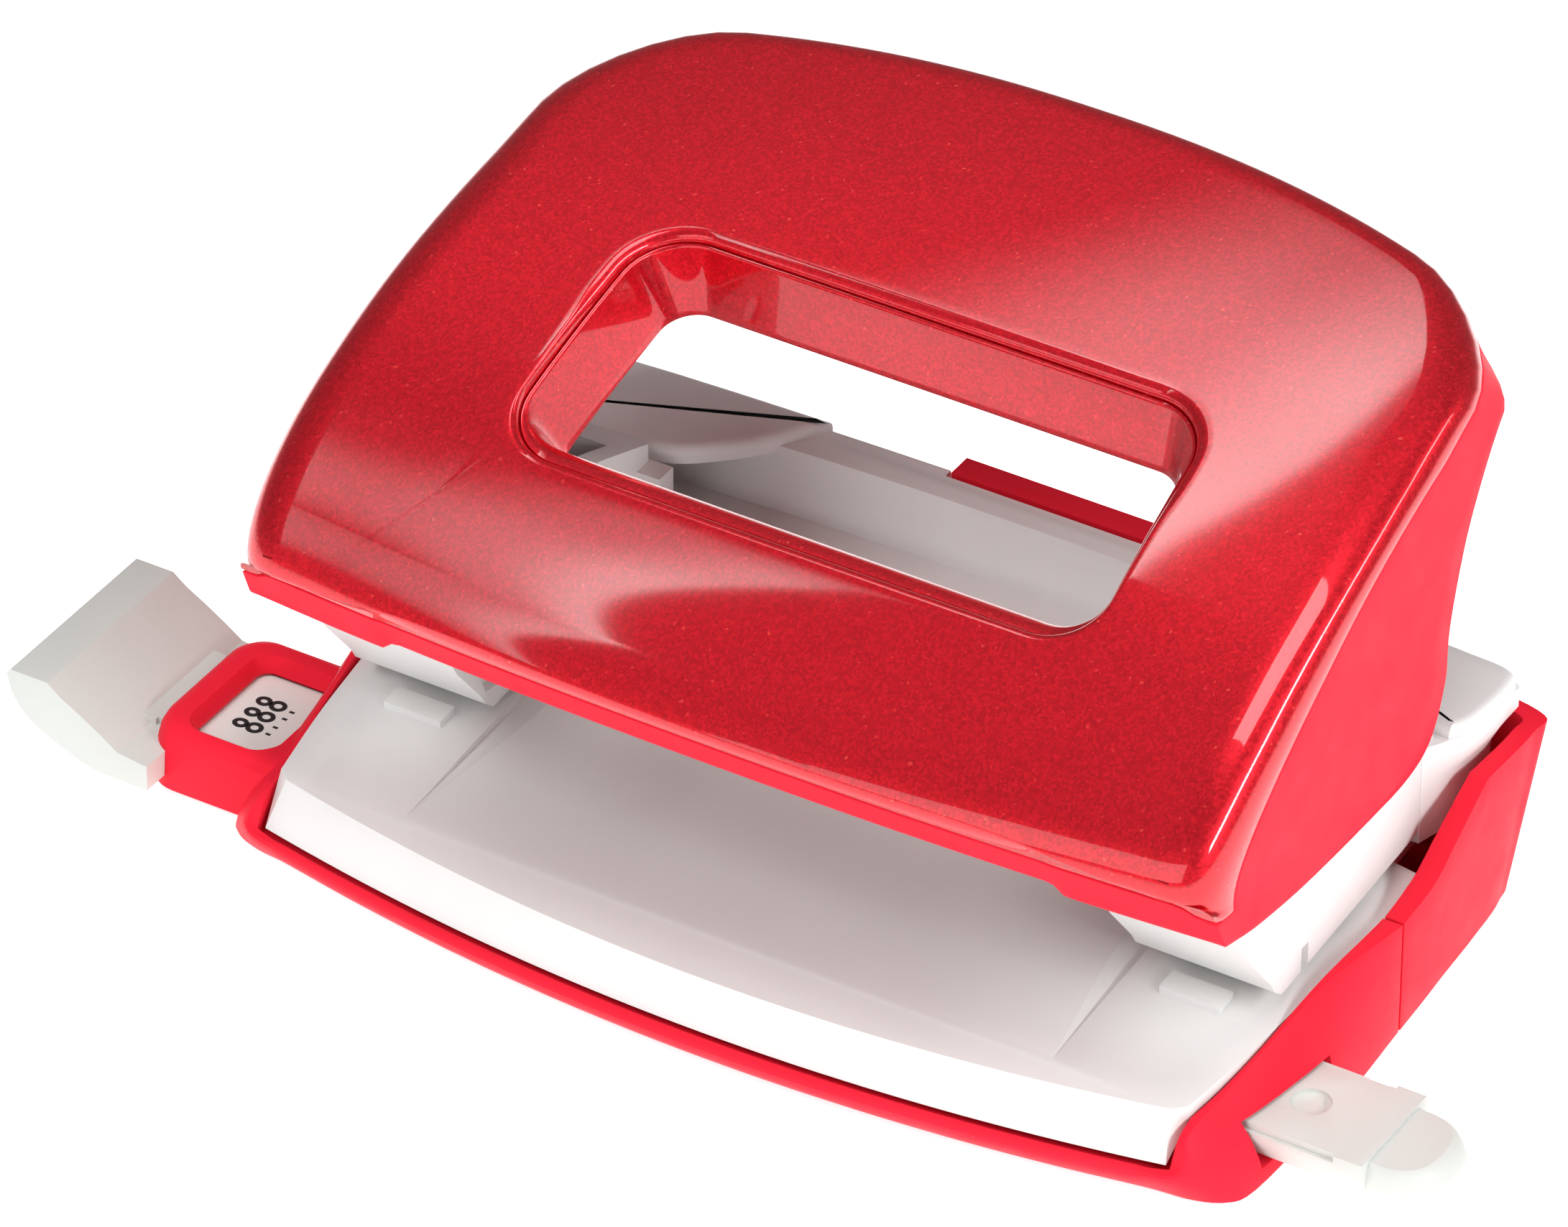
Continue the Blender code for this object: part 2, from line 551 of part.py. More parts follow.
def return_spring(name, x):
    """A coil of round wire between the bush and the pin's cap."""
    low = BUSH_TOP_Z + 0.55
    high = CAP_TOP_Z - 3.0 - 0.3
    turns = 4
    per_turn = 12
    wire = bpy.data.curves.new(name, "CURVE")
    wire.dimensions = "3D"
    wire.bevel_depth = 0.3 * MM
    wire.bevel_resolution = 1
    wire.use_fill_caps = True
    count = int(turns * per_turn) + 1
    path = wire.splines.new("POLY")
    path.points.add(count - 1)
    for i in range(count):
        turn = 2 * math.pi * i / per_turn
        z = low + (high - low) * i / (count - 1)
        path.points[i].co = (*point(3.55 * math.cos(turn), 3.55 * math.sin(turn), z), 1)
    made = bpy.data.objects.new(name, wire)
    made.location = point(x, PIN_Y, 0)
    wire.materials.append(material(name, STEEL, 0.3, 1.0))
    bpy.context.scene.collection.objects.link(made)


# ---------------------------------------------------------------- handle

def bezier(curve, t):
    k = 1 - t
    weights = (k**3, 3 * k * k * t, 3 * k * t * t, t**3)
    return [sum(w * p[axis] for w, p in zip(weights, curve)) for axis in range(3)]


def handle_point(u, v, depth=0.0):
    """A point of the handle's top, u across from -1 to 1 and v from lip to rear, pushed in by depth."""
    middle = bezier(HANDLE_MIDDLE, v)
    side = bezier(HANDLE_SIDE, v)
    share = abs(u) ** HANDLE_CROWN
    x = side[0] * u * (1 - depth * 0.8 / FLANGE_X)
    y = middle[1] + (side[1] - middle[1]) * share
    z = middle[2] + (side[2] - middle[2]) * share
    before = bezier(HANDLE_MIDDLE, max(v, 0.14) - 0.02)
    after = bezier(HANDLE_MIDDLE, max(v, 0.14) + 0.02)
    along = Vector((after[1] - before[1], after[2] - before[2])).normalized()
    return x, y + along[1] * depth, z - along[0] * depth


# Lower edge of the side flange, from the lip's underside to the foot of the rear edge.
FLANGE_EDGE = (
    (-6.4, 26.4), (-1.0, 25.2), (6.0, 24.4), (13.0, 24.1), (20.0, 24.0), (25.0, 24.1), (28.6, 25.0),
    (30.6, 27.0), (32.2, 31.0), (33.6, 35.5), (36.8, 42.0), (40.6, 46.6), (44.6, 50.0), (48.8, 52.4),
)
ACROSS = (0, 0.18, 0.36, 0.54, 0.68, 0.69, 0.82, 0.9, 0.95, 0.98, 1.0)


def under_point(u, i):
    """A point of the handle's lower edge, level with station i of FLANGE_EDGE."""
    last = len(FLANGE_EDGE) - 1
    v = (i / last) ** 1.15
    top = handle_point(u, v)
    side = handle_point(1.0, v)
    rear = max(0.0, (i - 8) / (last - 8))
    step = 1.0 if i == 0 and abs(u) <= 0.68 else 0.0
    rise = (top[2] - side[2]) * (1 - 0.8 * i / last)
    x = u * FLANGE_X * (1 - 0.055 * rear)
    return x, FLANGE_EDGE[i][0] + (top[1] - side[1]), FLANGE_EDGE[i][1] + step + rise


def handle_solid(name, depth, shift=(0, 0, 0), **options):
    """The handle's outer form or, with a depth, what lies that far inside it and on down."""
    stations = sorted({-u for u in ACROSS} | set(ACROSS))
    rows = len(FLANGE_EDGE)
    points = []
    for u in stations:
        reach = max(0.0, (abs(u) - 0.94) / 0.06)
        drop = 0 if depth else HANDLE_CORNER * (1 - math.sqrt(max(0.0, 1 - reach * reach)))
        reach_v = 1 - 0.018 * depth
        top = [handle_point(u, (i / (rows - 1)) ** 1.15 * reach_v, depth) for i in range(rows)]
        points += [(x, y, z - drop * 0.95) for x, y, z in top]
        if depth:
            points += [(x, y, z - 40.0) for x, y, z in top]
        else:
            points += [under_point(u, i) for i in range(rows)]
    faces = []
    for s in range(len(stations) - 1):
        a = s * 2 * rows
        b = a + 2 * rows
        for i in range(rows - 1):
            faces.append([a + i, a + i + 1, b + i + 1, b + i])
            faces.append([a + rows + i, b + rows + i, b + rows + i + 1, a + rows + i + 1])
        faces.append([a, b, b + rows, a + rows])
        faces.append([a + rows - 1, a + 2 * rows - 1, b + 2 * rows - 1, b + rows - 1])
    for s in (0, len(stations) - 1):
        a = s * 2 * rows
        for i in range(rows - 1):
            faces.append([a + i, a + i + 1, a + rows + i + 1, a + rows + i])
    points = [tuple(a + b for a, b in zip(p, shift)) for p in points]
    return mesh_object(name, points, faces, **options)


def window_prism(name, levels):
    """The handle's window as a prism that leans with the handle's top, through (height, growth) levels."""
    turn = Matrix.Rotation(math.radians(WINDOW_LEAN), 4, "X")
    centre = Vector((0, 14.9, 50.4))
    rings = []
    for level, grow in levels:
        outline = rounded_box_outline(-30.0 - grow, -13.2 - grow, 30.0 + grow, 13.2 + grow, 6.0 + grow, 5)
        shaped = [(x * (1 - 0.05 * (y + 13.2) / 26.4), y) for x, y in outline]
        rings.append([tuple(centre + turn @ Vector((x, y, level))) for x, y in shaped])
    return loft(name, rings)


def handle_shell():
    origin = (0, PIVOT_Y, PIVOT_Z)
    shell = handle_solid("handle_shell", 0.0, finish=(RED_PAINT, 0.25, 0.4), origin=origin)
    cut(shell, handle_solid("handle_hollow", HANDLE_WALL))
    rings = []
    for half, front, z in ((47.9, -5.5, 10.0), (47.9, -5.5, 30.0), (46.6, 5.5, 43.5)):
        rings.append([(-half, 35.6, z), (-half, front, z), (half, front, z), (half, 35.6, z)])
    cut(shell, mirror_loft("flange_way", rings))
    collar = handle_solid("collar", 0.5)
    boolean(collar, window_prism("collar_outside", ((-30, 1.8), (20, 1.8))), "INTERSECT")
    lean = math.radians(WINDOW_LEAN)
    shift = (0, WINDOW_DEPTH * math.sin(lean), -WINDOW_DEPTH * math.cos(lean))
    cut(collar, handle_solid("collar_under", 0.5, shift))
    join(shell, collar)
    taper = ((-40, -WINDOW_TAPER), (-WINDOW_DEPTH - 0.5, -WINDOW_TAPER), (0.5, 0), (30, 0))
    cut(shell, window_prism("handle_window", taper))
    for side in (-1, 1):
        x = side * PIN_X
        boss = turned("handle_boss", x, LEVER_SCREW_Y, ((2.6, 46.8), (2.6, 52.0)), 16)
        boolean(boss, handle_solid("boss_top", 0.8), "INTERSECT")
        join(shell, boss)
        cut(shell, turned("handle_pilot", x, LEVER_SCREW_Y, ((1.06, 30), (1.06, 49.7)), 12))
    return shell


def press_levers():
    """Levers inside the handle: each turns on a pivot pin and presses a punch pin's cap."""
    for side, name in ((-1, "left"), (1, "right")):
        x = side * PIN_X
        outline = arc((PIVOT_Y, PIVOT_Z), 3.4, 120, 330, 7) + [(8.5, 30.5), (15.0, 33.4)]
        outline += arc((PIN_Y, NOSE_Z), NOSE_RADIUS, 200, 345, 6)
        outline += [(23.6, 36.0), (24.6, 42.8), (32.0, 44.8), (32.0, 46.6)]
        outline += [(24.0, 45.0), (16.0, 42.4), (8.0, 38.6)]
        half = LEG_HALF_WIDTH - CHEEK - 0.6
        origin = (0, PIVOT_Y, PIVOT_Z)
        finish = (STEEL, 0.4, 1.0)
        lever = prism(f"press_lever_{name}", outline, x - half, x + half, "X", finish=finish, origin=origin)
        cut(lever, rod("lever_bore", PIVOT_Y, PIVOT_Z, PIVOT_RADIUS + 0.08, x - 9, x + 9))
        cut(lever, turned("lever_screw_way", x, LEVER_SCREW_Y, ((1.3, 36), (1.3, 60)), 12))
        screw(f"lever_screw_{name}", x, LEVER_SCREW_Y, 41.9, 43.1, 49.4, (STEEL, 0.3, 1.0))


def build():
    clear_scene()
    base_shell()
    paper_plate()
    chip_tray()
    base_fittings()
    guide_bar()
    detent_spring()
    upper_body()
    corner_covers()
    punch_parts()
    handle_shell()
    press_levers()


build()
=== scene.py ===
"""Looks for the two-hole desk punch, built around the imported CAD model.

Shapes are in millimetres in the CAD frame (+X right along the guide, +Y to the rear, +Z up), and
mesh_object() turns them into metres.
"""

import json
import math

import bmesh
import bpy
import numpy as np
from mathutils import Matrix, Vector


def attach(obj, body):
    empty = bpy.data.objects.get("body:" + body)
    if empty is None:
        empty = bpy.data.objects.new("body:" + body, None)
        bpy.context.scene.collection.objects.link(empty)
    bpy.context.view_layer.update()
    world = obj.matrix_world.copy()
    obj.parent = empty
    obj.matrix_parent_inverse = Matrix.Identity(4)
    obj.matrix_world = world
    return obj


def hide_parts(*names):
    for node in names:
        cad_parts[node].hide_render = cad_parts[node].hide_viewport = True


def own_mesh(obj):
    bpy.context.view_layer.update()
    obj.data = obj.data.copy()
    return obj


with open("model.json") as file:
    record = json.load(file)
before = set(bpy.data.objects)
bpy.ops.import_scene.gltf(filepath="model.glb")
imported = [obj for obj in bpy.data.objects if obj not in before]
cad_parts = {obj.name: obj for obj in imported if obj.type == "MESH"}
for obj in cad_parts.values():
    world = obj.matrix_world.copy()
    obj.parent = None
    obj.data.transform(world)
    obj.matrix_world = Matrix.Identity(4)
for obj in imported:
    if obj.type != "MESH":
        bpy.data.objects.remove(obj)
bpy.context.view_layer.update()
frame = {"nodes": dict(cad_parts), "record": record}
nodes = frame["nodes"]
MM = 0.001


# ---------------------------------------------------------------- shape helpers

def mesh_object(name, points, faces, material_names=(), face_materials=None, smooth=None):
    """A piece from points in millimetres. smooth is the sharp-edge angle in degrees; None leaves flat faces."""
    mesh = bpy.data.meshes.new(name)
    mesh.from_pydata([tuple(float(c) * MM for c in p) for p in points], [], [list(f) for f in faces])
    shape = bmesh.new()
    shape.from_mesh(mesh)
    bmesh.ops.recalc_face_normals(shape, faces=shape.faces)
    shape.to_mesh(mesh)
    shape.free()
    made = bpy.data.objects.new(name, mesh)
    bpy.context.scene.collection.objects.link(made)
    for each in material_names:
        mesh.materials.append(MATERIALS[each])
    if face_materials is not None:
        mesh.polygons.foreach_set("material_index", face_materials)
    if smooth is not None:
        shade(made, smooth)
    return made


def shade(made, angle):
    made.data.shade_smooth()
    made.data.set_sharp_from_angle(angle=math.radians(angle))


def baked(made):
    """Applies a piece's modifiers and removes the helper objects that they used."""
    bpy.context.view_layer.update()
    graph = bpy.context.evaluated_depsgraph_get()
    result = bpy.data.meshes.new_from_object(made.evaluated_get(graph))
    helpers = {step.object for step in made.modifiers if step.type == "BOOLEAN"}
    made.modifiers.clear()
    made.data = result
    for each in helpers:
        bpy.data.objects.remove(each, do_unlink=True)
    return made


def boolean(target, other, operation):
    step = target.modifiers.new(other.name, "BOOLEAN")
    step.operation = operation
    step.solver = "EXACT"
    step.object = other


def cut(target, *others):
    for other in others:
        boolean(target, other, "DIFFERENCE")


def join(target, *others):
    for other in others:
        boolean(target, other, "UNION")


def rounded(made, width, segments=3, angle=35):
    """Rounds every edge that is sharper than the angle."""
    step = made.modifiers.new("round", "BEVEL")
    step.width = width * MM
    step.segments = segments
    step.limit_method = "ANGLE"
    step.angle_limit = math.radians(angle)
    step.harden_normals = False
    return baked(made)


def loft(name, rings, **options):
    count = len(rings[0])
    points = [p for ring in rings for p in ring]
    faces = [list(range(count)), list(range((len(rings) - 1) * count, len(rings) * count))]
    for level in range(len(rings) - 1):
        low = level * count
        for i in range(count):
            after = (i + 1) % count
            faces.append([low + i, low + after, low + count + after, low + count + i])
    return mesh_object(name, points, faces, **options)


def mirror_loft(name, rings, **options):
    """A closed solid through rings that each run from one side to its mirror image."""
    count = len(rings[0])
    points = [p for ring in rings for p in ring]
    faces = []
    for start in (0, (len(rings) - 1) * count):
        for i in range((count - 1) // 2):
            j = count - 1 - i
            faces.append([start + k for k in dict.fromkeys((i, i + 1, j - 1, j))])
    for level in range(len(rings) - 1):
        low = level * count
        for i in range(count):
            after = (i + 1) % count
            faces.append([low + i, low + after, low + count + after, low + count + i])
    return mesh_object(name, points, faces, **options)


def prism(name, outline, low, high, axis="Z", **options):
    places = {
        "X": lambda p, level: (level, p[0], p[1]),
        "Y": lambda p, level: (p[0], level, p[1]),
        "Z": lambda p, level: (p[0], p[1], level),
    }
    place = places[axis]
    return loft(name, [[place(p, level) for p in outline] for level in (low, high)], **options)


def box(name, low, high, **options):
    outline = [(low[0], low[1]), (high[0], low[1]), (high[0], high[1]), (low[0], high[1])]
    return prism(name, outline, low[2], high[2], **options)


def arc(centre, radius, start, end, steps):
    found = []
    for i in range(steps + 1):
        turn = math.radians(start + (end - start) * i / steps)
        found.append((centre[0] + radius * math.cos(turn), centre[1] + radius * math.sin(turn)))
    return found


def circle(centre, radius, steps=48):
    return arc(centre, radius, 0, 360 - 360 / steps, steps - 1)


def rounded_box_outline(x0, y0, x1, y1, radius, steps=8):
    outline = []
    for cx, cy, start in (
        (x1 - radius, y1 - radius, 0),
        (x0 + radius, y1 - radius, 90),
        (x0 + radius, y0 + radius, 180),
        (x1 - radius, y0 + radius, 270),
    ):
        outline += arc((cx, cy), radius, start, start + 90, steps)
    return outline


def turned(name, x, y, profile, steps=48, **options):
    rings = [[(px, py, z) for px, py in circle((x, y), radius, steps)] for radius, z in profile]
    return loft(name, rings, smooth=40, **options)


def bow(x, middle, corner, half_width):
    return middle + (corner - middle) * (x / half_width) ** 2


def plate_z(y):
    return 8.5 + 0.09 * (y + 8.0)


# ---------------------------------------------------------------- materials

class Shader:
    """A few lines of help for building node materials."""

    def __init__(self, name):
        self.material = bpy.data.materials.new(name)
        self.material.use_nodes = True
        self.tree = self.material.node_tree
        self.main = self.tree.nodes["Principled BSDF"]
        self.place = self.add("ShaderNodeTexCoord").outputs["Object"]

    def add(self, kind, **values):
        node = self.tree.nodes.new(kind)
        for key, value in values.items():
            if hasattr(node, key):
                setattr(node, key, value)
            else:
                node.inputs[key].default_value = value
        return node

    def link(self, source, target):
        self.tree.links.new(source, target)

    def noise(self, scale, detail=2.0, roughness=0.5):
        node = self.add("ShaderNodeTexNoise")
        node.inputs["Scale"].default_value = scale
        node.inputs["Detail"].default_value = detail
        node.inputs["Roughness"].default_value = roughness
        self.link(self.place, node.inputs["Vector"])
        return node.outputs["Fac"]

    def cells(self, scale):
        node = self.add("ShaderNodeTexVoronoi")
        node.inputs["Scale"].default_value = scale
        self.link(self.place, node.inputs["Vector"])
        return node

    def ramp(self, source, stops):
        node = self.add("ShaderNodeValToRGB")
        while len(node.color_ramp.elements) < len(stops):
            node.color_ramp.elements.new(0.5)
        for element, (where, colour) in zip(node.color_ramp.elements, stops):
            element.position = where
            element.color = (*colour, 1.0) if isinstance(colour, tuple) else (colour, colour, colour, 1.0)
        self.link(source, node.inputs["Fac"])
        return node.outputs["Color"]

    def bump(self, height, strength, distance):
        node = self.add("ShaderNodeBump")
        node.inputs["Strength"].default_value = strength
        node.inputs["Distance"].default_value = distance * MM
        self.link(height, node.inputs["Height"])
        self.link(node.outputs["Normal"], self.main.inputs["Normal"])
        return node

    def base(self, roughness, metallic=0.0, specular=0.5, coat=0.0, coat_roughness=0.03):
        self.main.inputs["Roughness"].default_value = roughness
        self.main.inputs["Metallic"].default_value = metallic
        self.main.inputs["Specular IOR Level"].default_value = specular
        self.main.inputs["Coat Weight"].default_value = coat
        self.main.inputs["Coat Roughness"].default_value = coat_roughness


def metallic_paint(name):
    """Gloss metallic red: a flaked base under a clear coat."""
    made = Shader(name)
    made.base(0.36, metallic=0.7, coat=1.0, coat_roughness=0.035)
    flakes = made.cells(4200)
    stops = (
        (0.0, (0.52, 0.001, 0.010)),
        (0.55, (0.70, 0.002, 0.014)),
        (0.92, (0.84, 0.006, 0.022)),
        (1.0, (0.98, 0.09, 0.07)),
    )
    made.link(made.ramp(flakes.outputs["Color"], stops), made.main.inputs["Base Color"])
    rough = made.ramp(made.noise(2600, 1.0), [(0.3, 0.30), (0.7, 0.44)])
    made.link(rough, made.main.inputs["Roughness"])
    made.bump(flakes.outputs["Distance"], 0.05, 0.02)
    return made.material


def grained_plastic(name, colour, roughness, grain, strength, spread=0.04, specular=0.45):
    """Moulded plastic with a fine spark-eroded grain and slight uneven colour."""
    made = Shader(name)
    made.base(roughness, specular=specular)
    low = tuple(max(0.0, c * (1 - spread)) for c in colour)
    high = tuple(min(1.0, c * (1 + spread)) for c in colour)
    made.link(made.ramp(made.noise(60, 3.0), [(0.35, low), (0.65, high)]), made.main.inputs["Base Color"])
    rough = made.ramp(made.noise(300, 2.0), [(0.3, roughness - 0.05), (0.7, roughness + 0.05)])
    made.link(rough, made.main.inputs["Roughness"])
    made.bump(made.noise(grain, 3.0, 0.6), strength, 0.05)
    return made.material


def steel(name, roughness=0.28):
    made = Shader(name)
    made.base(roughness, metallic=1.0)
    made.link(made.ramp(made.noise(400, 4.0), [(0.3, 0.52), (0.7, 0.66)]), made.main.inputs["Base Color"])
    rough = made.ramp(made.noise(1500, 2.0), [(0.3, roughness - 0.06), (0.7, roughness + 0.1)])
    made.link(rough, made.main.inputs["Roughness"])
    made.bump(made.noise(2500, 2.0), 0.08, 0.02)
    return made.material


def flat_ink(name, colour):
    made = Shader(name)
    made.base(0.5)
    darker = tuple(c * 0.8 for c in colour)
    made.link(made.ramp(made.noise(800, 2.0), [(0.3, darker), (0.7, colour)]), made.main.inputs["Base Color"])
    return made.material


# Each plastic's colour, roughness, grain scale, grain strength, colour spread and specular level.
PLASTICS = {
    "red_satin": ((0.86, 0.018, 0.042), 0.42, 2400, 0.08, 0.04, 0.05),
    "red_inner": ((0.22, 0.012, 0.018), 0.5, 2000, 0.1, 0.04, 0.2),
    "red_plastic": ((0.86, 0.018, 0.042), 0.45, 2000, 0.12, 0.04, 0.07),
    "pale_plastic": ((0.80, 0.80, 0.79), 0.42, 2200, 0.06, 0.015),
    "guide_plastic": ((0.62, 0.64, 0.61), 0.5, 1500, 0.35, 0.02),
    "rubber": ((0.03, 0.03, 0.03), 0.75, 1400, 0.3),
    "label": ((0.80, 0.82, 0.79), 0.5, 1800, 0.1, 0.01),
}
MATERIALS = {
    "red_paint": metallic_paint("red_paint"),
    "steel": steel("steel"),
    "ink": flat_ink("ink", (0.012, 0.012, 0.014)),
    **{name: grained_plastic(name, *values) for name, values in PLASTICS.items()},
}

slots = {each["node"]: each["material_slot"] for each in frame["record"]["subparts"]}
for node_name, node in nodes.items():
    node.data.materials.clear()
    node.data.materials.append(MATERIALS[slots[node_name]])


# ---------------------------------------------------------------- handle

HANDLE_MIDDLE = ((0, -11.7, 33.0), (0, -11.8, 31.0), (0, -8.4, 50.1), (0, 57.3, 60.1))
HANDLE_SIDE = ((49.2, -8.9, 32.2), (48.7, -12.2, 29.5), (51.6, -13.0, 48.3), (46.0, 48.6, 58.1))
HANDLE_CROWN = 2.3
FLANGE_X = 49.5
FLANGE_EDGE = (
    (-6.4, 26.4), (-1.0, 25.2), (6.0, 24.4), (13.0, 24.1), (20.0, 24.0), (25.0, 24.1), (28.6, 25.0),
    (30.6, 27.0), (32.2, 31.0), (33.6, 35.5), (36.8, 42.0), (40.6, 46.6), (44.6, 50.0), (48.8, 52.4),
)
HANDLE_WALL = 2.0
FLANGE_WALL = 1.6
FLANGE_INSIDE_X = 47.9
WINDOW_CENTRE = np.array((0.0, 14.9, 50.4))
WINDOW_LEAN = math.radians(20)
WINDOW_HALF_X, WINDOW_HALF_Y, WINDOW_RADIUS = 30.0, 13.2, 6.0
WINDOW_DEPTH = 8.0
WINDOW_TAPER = 2.6
WINDOW_ROUND = 1.15
# Points along the window's wide sides, its narrow sides, a rear corner and a front corner.
WINDOW_STEPS = (72, 30, 16, 36)
# How far a rear corner of the handle is rounded, as shares of its width and its depth.
CORNER_U = 0.25
CORNER_V = 0.075
# The handle's faces carry one of three materials.
PAINTED, SATIN, INSIDE = 0, 1, 2
WINDOW_AXES = np.array((
    (1, 0, 0),
    (0, math.cos(WINDOW_LEAN), math.sin(WINDOW_LEAN)),
    (0, -math.sin(WINDOW_LEAN), math.cos(WINDOW_LEAN)),
))


def bezier(curve, t):
    curve = np.array(curve, float)
    k = 1 - t
    weights = np.stack([k**3, 3 * k * k * t, 3 * k * t * t, t**3], -1)
    return weights @ curve


def crown(u, v):
    """The handle's top surface, for arrays of u (-1 to 1) and v (0 to 1)."""
    middle = bezier(HANDLE_MIDDLE, v)
    side = bezier(HANDLE_SIDE, v)
    share = np.abs(u) ** HANDLE_CROWN
    return np.stack(
        [side[..., 0] * u, middle[..., 1] + (side[..., 1] - middle[..., 1]) * share,
         middle[..., 2] + (side[..., 2] - middle[..., 2]) * share], -1)


def smooth_line(points, steps):
    """A Catmull-Rom curve through the points, at evenly spaced parameters."""
    points = np.array(points, float)
    padded = np.vstack([2 * points[0] - points[1], points, 2 * points[-1] - points[-2]])
    place = np.linspace(0, len(points) - 1, steps)
    i = np.minimum(place.astype(int), len(points) - 2)
    t = (place - i)[:, None]
    a, b, c, d = padded[i], padded[i + 1], padded[i + 2], padded[i + 3]
    return 0.5 * (2 * b + (c - a) * t + (2 * a - 5 * b + 4 * c - d) * t**2 + (3 * b - a - 3 * c + d) * t**3)


def window_ring(counts):
    """The window's outline and, for each of its points, a place on the edge of the (u, v) square."""
    wide, deep, corner, front_corner = counts
    x, y = WINDOW_HALF_X - WINDOW_RADIUS, WINDOW_HALF_Y - WINDOW_RADIUS
    side, low, high = 0.66, 0.30, 0.86
    outline = []
    edge = []

    def run(start, end, edge_start, edge_end, steps):
        for i in range(steps):
            t = i / steps
            outline.append(start + (end - start) * t)
            edge.append(edge_start + (edge_end - edge_start) * t)

    def turn(centre, first, edge_a, edge_corner, edge_b, steps):
        for i in range(steps):
            t = i / steps
            angle = math.radians(first + 90 * t)
            outline.append(centre + WINDOW_RADIUS * np.array((math.cos(angle), math.sin(angle))))
            if t < 0.5:
                edge.append(edge_a + (edge_corner - edge_a) * 2 * t)
            else:
                edge.append(edge_corner + (edge_b - edge_corner) * (2 * t - 1))

    def at(*values):
        return np.array(values, float)

    def rear_corner(start, across):
        """Replaces the square's rear corner by an elliptical arc, which rounds the handle in plan."""
        for i in range(corner):
            t = i / corner
            run_in, bend, run_out = (16.0, 17.0, 5.0) if across > 0 else (5.0, 17.0, 16.0)
            length = t * (run_in + bend + run_out)
            turn = math.radians(90 * min(max((length - run_in) / bend, 0), 1))
            before = max(0.0, 1 - length / run_in)
            after = max(0.0, (length - run_in - bend) / run_out)
            if across > 0:
                u = 1 - CORNER_U * (1 - math.cos(turn)) - (1 - CORNER_U - side) * after
                v = 1 - CORNER_V + CORNER_V * math.sin(turn) - (1 - CORNER_V - high) * before
            else:
                u = -(1 - CORNER_U + CORNER_U * math.sin(turn)) + (1 - CORNER_U - side) * before
                v = 1 - CORNER_V * (1 - math.cos(turn)) - (1 - CORNER_V - high) * after
            edge[start + i] = at(u, v)

    run(at(-x, -WINDOW_HALF_Y), at(x, -WINDOW_HALF_Y), at(-side, 0), at(side, 0), wide)
    turn(at(x, -y), -90, at(side, 0), at(1, 0), at(1, low), front_corner)
    run(at(WINDOW_HALF_X, -y), at(WINDOW_HALF_X, y), at(1, low), at(1, high), deep)
    turn(at(x, y), 0, at(1, high), at(1, 1), at(side, 1), corner)
    rear_corner(len(edge) - corner, 1)
    run(at(x, WINDOW_HALF_Y), at(-x, WINDOW_HALF_Y), at(side, 1), at(-side, 1), wide)
    turn(at(-x, y), 90, at(-side, 1), at(-1, 1), at(-1, high), corner)
    rear_corner(len(edge) - corner, -1)
    run(at(-WINDOW_HALF_X, y), at(-WINDOW_HALF_X, -y), at(-1, high), at(-1, low), deep)
    turn(at(-x, -y), 180, at(-1, low), at(-1, 0), at(-side, 0), front_corner)
    outline = np.array(outline)
    outline[:, 0] *= 1 - 0.05 * (outline[:, 1] + WINDOW_HALF_Y) / (2 * WINDOW_HALF_Y)
    return outline, np.array(edge)


def on_crown(outline):
    """(u, v) where the window's straight walls meet the top, by Newton's method on each point."""
    start = WINDOW_CENTRE + outline @ WINDOW_AXES[:2]
    uv = np.stack([start[:, 0] / 49.0, np.full(len(start), 0.72)], -1)
    for _ in range(40):
        here = crown(uv[:, 0], uv[:, 1])
        local = (here - WINDOW_CENTRE) @ WINDOW_AXES[:2].T
        miss = outline - local
        step = 1e-4
        du = (((crown(uv[:, 0] + step, uv[:, 1]) - here) @ WINDOW_AXES[:2].T)) / step
        dv = (((crown(uv[:, 0], uv[:, 1] + step) - here) @ WINDOW_AXES[:2].T)) / step
        det = du[:, 0] * dv[:, 1] - du[:, 1] * dv[:, 0]
        uv[:, 0] += (miss[:, 0] * dv[:, 1] - miss[:, 1] * dv[:, 0]) / det
        uv[:, 1] += (du[:, 0] * miss[:, 1] - du[:, 1] * miss[:, 0]) / det
        uv[:, 1] = np.clip(uv[:, 1], 0.05, 1.0)
    return uv


def crown_normal(u, v):
    step = 1e-3
    v = np.clip(v, 0.02, 0.999)
    along_u = crown(u + step, v) - crown(u - step, v)
    along_v = crown(u, v + step) - crown(u, v - step)
    normal = np.cross(along_u, along_v)
    return normal / np.linalg.norm(normal, axis=-1, keepdims=True)


def lower_edge(edge):
    """The handle's lower edge below each place on the edge of the (u, v) square."""
    u, v = edge[:, 0], edge[:, 1]
    top = crown(u, v)
    side = crown(np.sign(u + 1e-9), v)
    flange = smooth_line(FLANGE_EDGE, 400)
    share = v ** (1 / 1.15)
    place = np.clip(share * 399, 0, 399)
    line = np.stack([np.interp(place, np.arange(400), flange[:, k]) for k in (0, 1)], -1)
    rear = np.clip((share * 13 - 8) / 5, 0, 1)
    x = u * FLANGE_X * (1 - 0.055 * rear)
    y = line[:, 0] + top[:, 1] - side[:, 1]
    notch = 0.5 - 0.5 * np.tanh((np.abs(u) - 0.685) * 120)
    step = np.where(v < 1e-6, notch, 0.0)
    z = line[:, 1] + step + (top[:, 2] - side[:, 2]) * (1 - 0.8 * share)
    return np.stack([x, y, z], -1)


